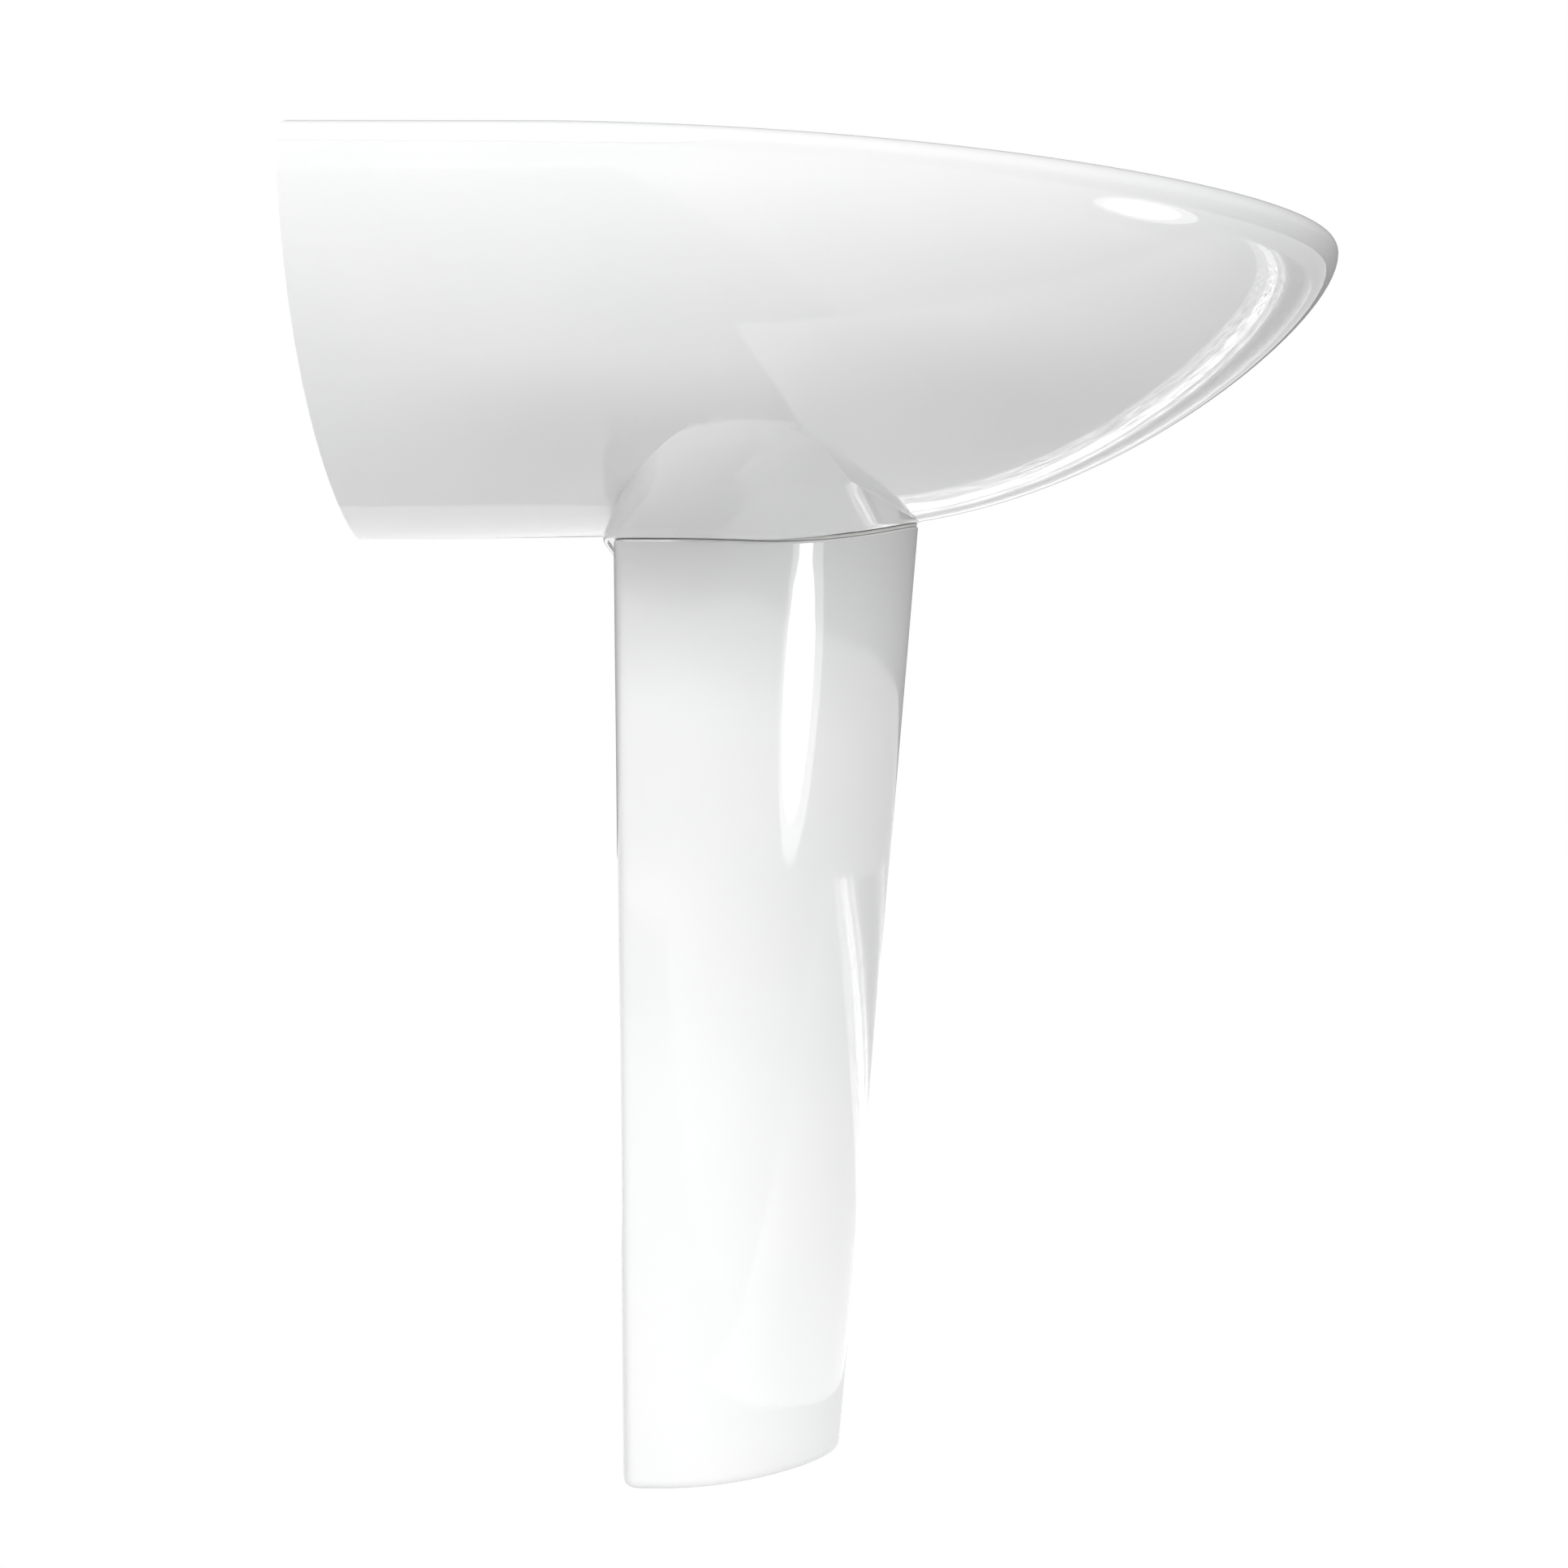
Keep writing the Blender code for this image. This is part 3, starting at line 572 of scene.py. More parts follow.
def box(name, low, high):
    """A cutter that leaves bare china."""
    bm = bmesh.new()
    bmesh.ops.create_cube(bm, size=1.0)
    bmesh.ops.scale(bm, vec=[b - a for a, b in zip(low, high)], verts=bm.verts)
    bmesh.ops.translate(bm, vec=[(a + b) / 2 for a, b in zip(low, high)], verts=bm.verts)
    return finish(name, bm, material_index=BARE)


def rounded_box(name, low, high, radius, steps=8):
    """A cutter along Y with rounded corners in its X-Z outline."""
    rings = []
    for y in (low[1], high[1]):
        ring = []
        for corner in range(4):
            cx = (high[0] - radius) if corner in (0, 3) else (low[0] + radius)
            cz = (high[2] - radius) if corner in (0, 1) else (low[2] + radius)
            for k in range(steps + 1):
                a = math.pi / 2 * (corner + k / steps)
                ring.append((cx + radius * math.cos(a), y, cz + radius * math.sin(a)))
        rings.append(ring)
    return finish(name, closed_loft(rings))


def dress(obj, node, body="sink", extra=None):
    """Gives a piece the material of the CAD node it stands for, and hides that CAD node."""
    slot = SLOT_OF[node]
    obj.data.materials.clear()
    obj.data.materials.append(LOOKS[slot])
    if extra:
        obj.data.materials.append(extra)
    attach(obj, body)
    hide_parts(node)


# ---------------------------------------------------------------- basin


def hull_plan(u):
    r = max(0.0, (u - STRAIGHT_SHARE) / (1 - STRAIGHT_SHARE))
    return max(0.0, 1 - r**1.66) ** (1 / 1.71)


def rim_z(y):
    share = max(0.0, (BOWL_WIDEST_Y - y) / (BOWL_WIDEST_Y + BACK_Y))
    return RIM_HEIGHT - FRONT_DROP * share**2


def hull_half_ring(t, inset, columns):
    top_back = RIM_HEIGHT - (BACK_LIP if inset == 0 else DECK)
    top_front = RIM_HEIGHT - FRONT_DROP - (FRONT_LIP if inset == 0 else DECK)
    side = (
        (0, KEEL_BACK_Z + inset),
        (0.107 - 0.3 * inset, 0.604 + inset),
        (0.284 - 0.9 * inset, 0.666 + 0.6 * inset),
        (HALF_WIDTH - inset, top_back),
    )
    stem = (
        (KEEL_FRONT_Y, 0.598 + inset),
        (-0.003, 0.6015 + inset),
        (-0.083, 0.587 + inset),
        (-0.194 + 0.8 * inset, 0.636 + 0.8 * inset),
        (-BACK_Y + 1.1 * inset, 0.733 + 0.3 * inset),
        (-BACK_Y + 1.1 * inset, top_front),
    )
    half, side_z = bezier(side, t)
    front_y, front_z = bezier(stem, t)
    back = BACK_Y - inset
    ring = []
    for i in range(columns + 1):
        u = 1 - (1 - i / columns) ** 2
        x = -half * hull_plan(u)
        ring.append((x, back + (front_y - back) * u, side_z + (front_z - side_z) * u * u))
    return ring


def hull_lip_ring(top, angle):
    ring = []
    for i, (x, y, z) in enumerate(top):
        before, after = top[max(i - 1, 0)], top[min(i + 1, len(top) - 1)]
        outward = Vector((after[1] - before[1], before[0] - after[0])).normalized()
        if i == 0:
            outward = Vector((-1, 1))
        if i == len(top) - 1:
            outward = Vector((0, -1))
        radius = rim_z(y) - z
        inwards = min(radius, FRONT_LIP) * (1 - math.cos(angle))
        rise = radius * math.sin(angle)
        ring.append((x - outward.x * inwards, y - outward.y * inwards, z + rise))
    return ring


def hull(name, levels, columns, inset=0.0):
    halves = [hull_half_ring(i / levels, inset, columns) for i in range(levels + 1)]
    if inset == 0:
        top = halves[-1]
        halves += [hull_lip_ring(top, math.radians(7.5 * k)) for k in range(1, 13)]
    bm = bmesh.new()
    rows = loft(bm, [mirrored(half) for half in halves])
    strip_cap(bm, rows[-1])
    bmesh.ops.remove_doubles(bm, verts=bm.verts, dist=1e-6)
    return finish(name, bm, material_index=BARE if inset else GLAZED)


def bowl_opening(angle):
    c, s = math.cos(angle), math.sin(angle)
    if s >= 0:
        power = 2 / 2.9
        x = BOWL_HALF * math.copysign(abs(c) ** power, c)
        return Vector((x, BOWL_WIDEST_Y + (BOWL_BACK_Y - BOWL_WIDEST_Y) * s**power))
    r = abs(s)
    x = BOWL_HALF * math.copysign(math.sqrt(max(0.0, 1 - r * r)) ** 1.05, c)
    return Vector((x, BOWL_WIDEST_Y + (BOWL_FRONT_Y - BOWL_WIDEST_Y) * r))


def bowl_angles(steps):
    half = steps // 2
    front = [-math.pi / 2 * (1 - (1 - i / (half // 2)) ** 1.6) for i in range(half // 2 + 1)]
    back = [math.pi / 2 * i / (half - half // 2) for i in range(1, half - half // 2 + 1)]
    right = list(reversed(front)) + back
    return right + [math.pi - a for a in reversed(right[1:-1])]


def bowl_wall(s_at, angle, grow=0.0):
    share, z = bezier(BOWL_PROFILE, s_at)
    ahead = bezier(BOWL_PROFILE, min(1, s_at + NEAR))
    behind = bezier(BOWL_PROFILE, max(0, s_at - NEAR))
    slope = Vector(((ahead[0] - behind[0]) * BOWL_HALF, ahead[1] - behind[1])).normalized()
    drain = Vector((DRAIN_RING * math.cos(angle), DRAIN_Y + DRAIN_RING * math.sin(angle)))
    rim = bowl_opening(angle)
    tangent = bowl_opening(angle + NEAR) - bowl_opening(angle - NEAR)
    outward = Vector((tangent.y, -tangent.x)).normalized()
    outward = Vector((math.cos(angle), math.sin(angle))).lerp(outward, share).normalized()
    flat = drain.lerp(rim, share) + outward * grow * slope.y
    return Vector((flat.x, flat.y, z - grow * slope.x))


def widened(ring, i, by):
    before, after = ring[i - 1], ring[(i + 1) % len(ring)]
    return ring[i] + Vector((after.y - before.y, before.x - after.x, 0)).normalized() * by


def bowl_solid(name, grow, levels, steps):
    angles = bowl_angles(steps)
    rings = [[bowl_wall(i / levels, a, grow) for a in angles] for i in range(levels + 1)]
    if grow:
        lift = RIM_HEIGHT - FRONT_DROP - 0.003 - rings[-1][0].z
        rings.append([p + Vector((0, 0, lift)) for p in rings[-1]])
        return finish(name, closed_loft(rings), material_index=BARE)
    edge = rings[-1]
    for a in range(8, 88, 8):
        swell = BOWL_LIP * (1 - math.cos(math.radians(a)))
        rise = BOWL_LIP * math.sin(math.radians(a))
        rings.append([widened(edge, i, swell) + Vector((0, 0, rise)) for i in range(len(edge))])
    high = [widened(edge, i, BOWL_LIP * 0.95) for i in range(len(edge))]
    rings.append([Vector((p.x, p.y, RIM_HEIGHT + 0.02)) for p in high])
    for ring in rings[levels + 1 : -1]:
        for p in ring:
            p.z -= RIM_HEIGHT - rim_z(p.y)
    return finish(name, closed_loft(rings))


def joint_z(y):
    share = clamped((JOINT_RISE_FROM - y) / (JOINT_RISE_FROM - COLLAR_FRONT))
    return JOINT_Z + JOINT_RISE * share**2


def shield_ring(
    half, front, widest, back, squareness,
    columns=SHIELD_COLUMNS, corner_steps=CORNER_STEPS, power=1.9,
):
    """Half of a shield-shaped outline: square at the back, running to a rounded nose in front."""
    ring = []
    for i in range(corner_steps + 1):
        a = math.pi / 2 * (1 - i / corner_steps)
        c, s = math.cos(a) ** (2 / squareness), math.sin(a) ** (2 / squareness)
        ring.append((-half * c, widest + (back - widest) * s))
    for i in range(1, columns + 1):
        r = 1 - (1 - i / columns) ** 2.1
        side = half * max(0.0, 1 - r**power) ** (1 / 1.3)
        nose = 2 * NOSE_RADIUS * (widest - front) * (1 - r) * r**6
        ring.append((-math.sqrt(side**2 + nose), widest + (front - widest) * r))
    return ring


def whole_shield(half_ring, height):
    return mirrored([(x, y, height(y)) for x, y in half_ring], first=1)


def collar_ring(rise, inset=0.0):
    """The collar's outline at a height above the joint: wider and rounder the higher it is."""
    share = min(1.0, rise / COLLAR_FULL_RISE)
    oval = 1 - (1 - share) ** 4
    half = COLLAR_HALF + COLLAR_FLARE * (rise / COLLAR_FLARE_RISE) ** 1.1 - inset
    widest = COLLAR_WIDEST_Y - COLLAR_WIDEST_SHIFT * oval
    back = COLLAR_BACK - COLLAR_BACK_SHIFT * share - inset
    squareness = 7.0 - 4.7 * oval
    power = 1.9 + 0.6 * clamped((share - 0.4) / 0.28)
    ring = shield_ring(half, COLLAR_FRONT + inset, widest, back, squareness, power=power)
    return whole_shield(ring, lambda y: joint_z(y) + rise)


def collar_lip(y):
    """How far the collar's edge hangs over the top of the pedestal."""
    return COLLAR_LIP * clamped((y - 0.005) / 0.05)


def collar(name, inset=0.0):
    """The collar over the pedestal; with an inset, the hollow inside it."""
    if inset:
        rings = [collar_ring(max(rise, 0.0), inset) for rise in (-0.02, 0.012, 0.028, 0.047)]
        rings[0] = [(x, y, JOINT_Z - 0.02) for x, y, _ in rings[0]]
        return finish(name, capped_loft(rings), material_index=BARE)
    rings = [collar_ring(0.0, 0.0034)]
    for k in range(-1, 6):
        a = math.pi / 2 * max(0, k) / 6
        rise = COLLAR_EDGE * (1 - math.cos(a))
        inwards = COLLAR_EDGE_INWARDS * (1 - math.sin(a)) + (0.0013 if k < 0 else 0.0)
        ring = collar_ring(rise, inwards)
        hang = 1 - 0.4 * rise / COLLAR_EDGE
        rings.append([(x, y, z - collar_lip(y) * hang) for x, y, z in ring])
    rings += [collar_ring(COLLAR_EDGE + COLLAR_TOP_RISE * (k / 26) ** 1.2) for k in range(27)]
    return finish(name, capped_loft(rings))


def duct(name, near, far, half, start_y, top):
    """A box that follows the bowl's rear wall, between two distances behind it."""
    steps = [DUCT_START + (top - DUCT_START) * i / 12 for i in range(13)]
    inner = [bowl_wall(s, math.pi / 2, near) for s in steps]
    outer = [bowl_wall(s, math.pi / 2, far) for s in steps]
    inner.insert(0, Vector((0, start_y, inner[0].z)))
    outer.insert(0, Vector((0, start_y, outer[0].z)))
    rings = []
    for a, b in zip(inner, outer):
        rings.append([(-half, a.y, a.z), (half, a.y, a.z), (half, b.y, b.z), (-half, b.y, b.z)])
    return finish(name, closed_loft(rings), material_index=BARE)


def overflow_frame():
    here = bowl_wall(OVERFLOW_AT, math.pi / 2)
    there = bowl_wall(OVERFLOW_AT, math.pi / 2, NEAR)
    return here, (there - here).normalized()


def make_basin():
    basin = hull("basin_china", 56, HULL_COLUMNS)
    cut(basin, "UNION", collar("collar_outside"))

    skin = bowl_solid("bowl_skin", CHINA, 16, 72)
    pad = cylinder("waste_pad", 0.040, PAD_BOTTOM, BOWL_FLOOR - 0.004)
    shell = duct("overflow_duct_skin", 0.005, 0.028, 0.023, DRAIN_Y, OVERFLOW_AT + 0.065)
    cut(skin, "UNION", pad, shell)
    cavity = hull("hull_inside", 16, 28, inset=CHINA)
    cut(cavity, "UNION", collar("collar_inside", 0.013))
    cut(cavity, "DIFFERENCE", skin)
    leave_bare(cavity)
    cut(basin, "DIFFERENCE", cavity, bowl_solid("bowl_inside", 0.0, 60, 176))

    wide = RECESS_RADIUS + 0.0012
    stepped = [(0, PAD_BOTTOM - 0.01), (WASTE_HOLE_RADIUS, PAD_BOTTOM - 0.01)]
    stepped += [(WASTE_HOLE_RADIUS, BOWL_FLOOR - RECESS), (RECESS_RADIUS, BOWL_FLOOR - RECESS)]
    stepped += [(RECESS_RADIUS, BOWL_FLOOR - 0.0012), (RECESS_RADIUS + 0.0003, BOWL_FLOOR - 0.0005)]
    stepped += [(wide, BOWL_FLOOR + 0.0004), (wide, BOWL_FLOOR + 0.006), (0, BOWL_FLOOR + 0.006)]
    waste_hole = turned("waste_hole", stepped, phase=CUTTER_PHASE)
    hollow = duct("overflow_duct", 0.012, 0.020, 0.014, DRAIN_Y + 0.010, OVERFLOW_AT + 0.035)
    point, out = overflow_frame()
    seat = [(0, -0.010), (0.0157, -0.010), (0.0157, OVERFLOW_SEAT)]
    seat += [(OVERFLOW_RADIUS, OVERFLOW_SEAT), (OVERFLOW_RADIUS, 0.016), (0, 0.016)]
    overflow = turned("overflow_hole", seat, point, out, 64, phase=CUTTER_PHASE)
    cut(hollow, "UNION", waste_hole, overflow)
    tap_at = (0, TAP_HOLE_Y, RIM_HEIGHT)
    tap_hole = cylinder("tap_hole", TAP_HOLE_RADIUS, -0.03, 0.01, tap_at, mouth=0.0018)
    cut(basin, "DIFFERENCE", hollow, tap_hole)
    low = (-WINDOW_HALF, BACK_Y - 0.03, WINDOW_LOW)
    high = (WINDOW_HALF, BACK_Y + 0.01, WINDOW_HIGH)
    cut(basin, "DIFFERENCE", rounded_box("back_window", low, high, 0.010))
    for side in (-1, 1):
        at = (side * WALL_BOLT_X, BACK_Y, WALL_BOLT_Z)
        hole = cylinder("bolt_hole", WALL_BOLT_RADIUS, -0.03, 0.01, at, ALONG_Y, 40, 0.001)
        cut(basin, "DIFFERENCE", hole)
    leave_bare(basin, lambda face: face.center.y > BACK_Y - 0.0005 and face.normal.y > 0.99)
    smooth(basin.data)
    dress(basin, "basin", extra=BISCUIT)


def pedestal_ring(
    height, inset=0.0, shave=0.0, columns=SHIELD_COLUMNS, corner_steps=CORNER_STEPS
):
    z = height * JOINT_Z
    half = FOOT_HALF + (TOP_HALF - FOOT_HALF) * height**1.5 - inset - shave
    front = FOOT_FRONT - FRONT_LEAN * z + 1.1 * inset + shave
    back = FOOT_BACK + (TOP_BACK - FOOT_BACK) * height - inset - shave
    return shield_ring(half, front, back - 0.022, back, 9.0, columns, corner_steps)


def make_pedestal():
    top = lambda y: joint_z(y) - SEAL - 2 * GAP
    rings = []
    for k in range(8):
        a = math.pi / 2 * k / 7
        shave, z = 0.005 * (1 - math.sin(a)), FOOT_EDGE * (1 - math.cos(a))
        rings.append(whole_shield(pedestal_ring(z / JOINT_Z, shave=shave), lambda y, z=z: z))
    rows = 60
    for i in range(1, rows):
        height = 0.012 + (0.997 - 0.012) * i / (rows - 1)
        rings.append(whole_shield(pedestal_ring(height), lambda y, h=height: h * top(y)))
    for k in range(1, 6):
        a = math.pi / 2 * k / 5
        shave, drop = TOP_EDGE * (1 - math.cos(a)), TOP_EDGE * (1 - math.sin(a))
        rings.append(whole_shield(pedestal_ring(1.0, shave=shave), lambda y, d=drop: top(y) - d))
    pedestal = finish("pedestal_china", capped_loft(rings))

    def hollow(name, inset, low, high):
        levels = []
        for i in range(12):
            z = low + (high - low) * i / 11
            ring = pedestal_ring(clamped(z / JOINT_Z), inset, columns=24, corner_steps=10)
            levels.append(whole_shield(ring, lambda y, z=z: z))
        return finish(name, capped_loft(levels), material_index=BARE)

    low = (-BACK_OPENING_HALF, FOOT_BACK - 0.036, -0.01)
    high = (BACK_OPENING_HALF, TOP_BACK + 0.01, BACK_OPENING_TOP)
    cut(pedestal, "DIFFERENCE", hollow("pedestal_hollow", WALL, FLANGE_HEIGHT, 0.65))
    foot_hole = hollow("foot_hole", FLANGE, -0.01, 0.02)
    cut(pedestal, "DIFFERENCE", foot_hole, box("back_opening", low, high))
    for side in (-1, 1):
        at = (side * FOOT_SCREW[0], FOOT_SCREW[1], 0)
        hole = cylinder("foot_screw", FOOT_SCREW_RADIUS, -0.01, 0.03, at, segments=32)
        cut(pedestal, "DIFFERENCE", hole)
    leave_bare(pedestal, lambda face: face.center.z < 0.0008)
    smooth(pedestal.data)
    dress(pedestal, "pedestal", extra=BISCUIT)


def make_collar_seal():
    """The soft ring between pedestal and collar, with a rounded outer edge."""
    rings = []
    for k in range(7):
        a = math.pi * k / 6 - math.pi / 2
        inwards = 0.0006 + 0.0006 * (1 - math.cos(a))
        rise = SEAL / 2 * (1 + math.sin(a))
        ring = pedestal_ring(1.0, inwards)
        rings.append(whole_shield(ring, lambda y, r=rise: joint_z(y) - SEAL - GAP + r))
    inner = pedestal_ring(1.0, 0.0085)
    rings.append(whole_shield(inner, lambda y: joint_z(y) - GAP))
    rings.append(whole_shield(inner, lambda y: joint_z(y) - SEAL - GAP))
    bm = bmesh.new()
    loft(bm, rings + [rings[0]])
    dress(finish("pedestal_seal", bm), "collar_seal")


# ---------------------------------------------------------------- waste and plug


def washer(
    name, node, bore, radius, low, high, edge=0.0004, at=DRAIN, along=UP, body="sink"
):
    """A flat washer, gasket or seal with softened edges."""
    obj = turned(name, ring_profile(bore, radius, low, high), at, along, edge=edge)
    dress(obj, node, body)


def make_overflow_trim():
    point, out = overflow_frame()
    back = OVERFLOW_SEAT - GAP
    outline = [(0.0095, 0.009), (0.0117, 0.009), (0.0117, back), (0.0153, back), (0.0153, -0.0004)]
    lip = [(0.0153, -0.0004), (0.0152, -0.0019), (0.0134, -0.0019), (0.0125, -0.0018)]
    throat = [(0.0125, -0.0018), (0.0100, -0.0018), (0.0095, -0.0010), (0.0095, 0.0010)]
    outline += curve(lip, 10, 1) + curve(throat, 10, 1)
    dress(turned("overflow_trim", outline, point, out), "overflow_ring")


def make_waste():
    top = BOWL_FLOOR + 0.0018
    low, high = BOWL_FLOOR - 0.0010, BOWL_FLOOR + 0.0008
    outline = [(0.0178, 0.578)] + spaced(WASTE_THREAD, 0.578, 0.621, THREAD_STEP)
    outline += [(WASTE_THREAD, low), (0.0319, low), (0.0319, high)]
    outline += curve([(0.0319, high), (0.0319, top), (0.0300, top)], 6, 1)
    funnel = [(0.0262, top), (0.0225, 0.6558), (0.0184, 0.6535), (0.0178, 0.6480)]
    outline += curve(funnel, 12)
    tube = turned("waste_tube", outline, shape=threaded(WASTE_THREAD, 0.5785, 0.6210))
    slot_ends = (-0.009, DRAIN_Y - 0.03, 0.631), (0.009, DRAIN_Y + 0.03, 0.646)
    cut(tube, "DIFFERENCE", rounded_box("overflow_slot", *slot_ends, 0.004))
    dress(tube, "waste_body")
    floor = BOWL_FLOOR - RECESS
    washer("waste_gasket_upper", "waste_flange_gasket", 0.0215, 0.0310, floor + GAP, floor + 0.0017)
    low, high = PAD_BOTTOM - 0.0033, PAD_BOTTOM - GAP
    washer("waste_gasket_lower", "waste_lower_gasket", 0.0215, 0.0300, low, high, 0.0008)
    low, high = PAD_BOTTOM - 0.0051, PAD_BOTTOM - 0.0036
    washer("waste_slip_washer", "waste_washer", 0.0214, 0.0305, low, high, 0.0002)
    high = PAD_BOTTOM - 0.0054
    low = high - HEX_HEIGHT
    outline = [(0.0213, high), (HEX_HALF, high)]
    outline += [(HEX_HALF, high - 0.0015 * k) for k in range(1, 6)]
    outline += [(HEX_HALF, low), (0.0213, low)]
    shape = hexagonal(HEX_HALF, low, high)
    nut = turned("waste_hex_nut", outline, segments=180, shape=shape, edge=0.0003)
    dress(nut, "waste_backnut")


def make_plug():
    """The sprung plug, standing open on its rod."""
    low = BOWL_FLOOR + 0.0025 + PLUG_TRAVEL
    crown = [(0.0300, low + 0.0008), (0.0300, low + 0.0034)]
    crown += [(0.0255, low + 0.0047), (0.0150, low + 0.0053)]
    middle = [(0.0150, low + 0.0053), (0.0080, low + 0.0057), (0, low + 0.0057)]
    outline = [(0, low), (0.0293, low)]
    outline += curve([(0.0293, low), (0.0300, low), (0.0300, low + 0.0008)], 5, 1)
    outline += curve(crown, 20, 1) + curve(middle, 8, 1)
    dress(turned("plug_dome", outline, segments=128), "plug_cap", "plug")
    head_low, head_high = low - 0.0045, low - GAP
    ends = low - 0.0026, head_high
    washer("plug_lip_seal", "plug_seal", 0.0168, 0.0200, *ends, 0.0007, body="plug")
    rod = [(0, 0.590)] + spaced(0.003, 0.590, 0.5990, 0.00012)
    rod += [(0.003, 0.640), (0.0075, 0.640), (0.0075, 0.642), (0.003, 0.642), (0.003, head_low)]
    rod += [(0.0165, head_low), (0.0165, head_high), (0, head_high)]
    shape = threaded(0.003, 0.5903, 0.5988, 0.0008, 0.0003)
    dress(turned("plug_rod", rod, segments=64, shape=shape, edge=0.0003), "plug_stem", "plug")

    hub = ring_profile(0.0034, 0.0065, 0.600, 0.612)
    spider = turned("plug_spider", hub, segments=72, edge=0.0005)
    for i in range(3):
        arm = rounded_box("arm", (-0.0014, 0.0050, 0.601), (0.0014, 0.0175, 0.609), 0.0008, 6)
        arm.location = DRAIN
        arm.rotation_euler.z = 2 * math.pi * i / 3 + math.pi / 6 - math.pi / 2
        cut(spider, "UNION", arm)
    dress(spider, "plug_guide")


def make_plug_spring(turns=6, low=0.6130, high=0.6393, coil=0.0052, wire=0.0006, sides=14):
    """A coil with a closed turn at each end, built at one length; nothing here flattens it as the
    plug goes down.
    """
    turn_steps = 44
    steps = turns * turn_steps
    pace = []
    for i in range(steps):
        near_end = min(i + 0.5, steps - i - 0.5) / turn_steps
        ease = clamped((near_end - 0.55) / 0.6)
        pace.append(0.0013 + 0.0046 * ease * ease * (3 - 2 * ease))
    scale = (high - low - 2 * wire) / sum(pace)
    bm = bmesh.new()
    rings = []
    climb = 0.0
    for i in range(steps + 1):
        angle = 2 * math.pi * turns * i / steps
        out = Vector((math.cos(angle), math.sin(angle), 0))
        centre = out * coil + Vector((0, 0, low + wire + climb))
        taper = min(1.0, 0.55 + 0.45 * min(i, steps - i) / 3)
        ring = []
        for k in range(sides):
            a = 2 * math.pi * k / sides
            side = out * math.cos(a) + Vector((0, 0, math.sin(a)))
            ring.append(centre + wire * taper * side)
        rings.append(ring)
        climb += pace[min(i, steps - 1)] * scale
    rows = loft(bm, rings)
    bm.faces.new(rows[0])
    bm.faces.new(rows[-1])
    spring = finish("plug_coil", bm, 60)
    spring.location.y = DRAIN_Y
    dress(spring, "plug_spring")
    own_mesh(spring)


# ---------------------------------------------------------------- trap and pipe


def slip_nut(name, node, thread, bore, low, high, lip_low, at=DRAIN, along=UP):
    """A hand nut with grip notches: wide on the thread's side, a lip with a small bore opposite."""
    outer = thread + 0.0045
    ends = (low, high) if lip_low else (high, low)
    inwards = 0.0035 if lip_low else -0.0035
    lip = ends[0] + inwards
    outline = [(bore, ends[0]), (outer - 0.0018, ends[0]), (outer, ends[0] + 0.5 * inwards)]
    outline += [(outer, ends[1] - share * inwards) for share in (1.15, 0.5, 0)]
    outline += [(thread, ends[1]), (thread, lip), (bore, lip)]
    grip = sorted((ends[0] + 0.4 * inwards, ends[1] - 0.9 * inwards))
    outline[3:3] = spaced(outer, outline[2][1], outline[3][1], 0.0006)[1:-1]
    shape = fluted(outer, 16, 0.0011, grip[0], grip[1])
    dress(turned(name, outline, at, along, 192, shape, edge=0.0005), node)


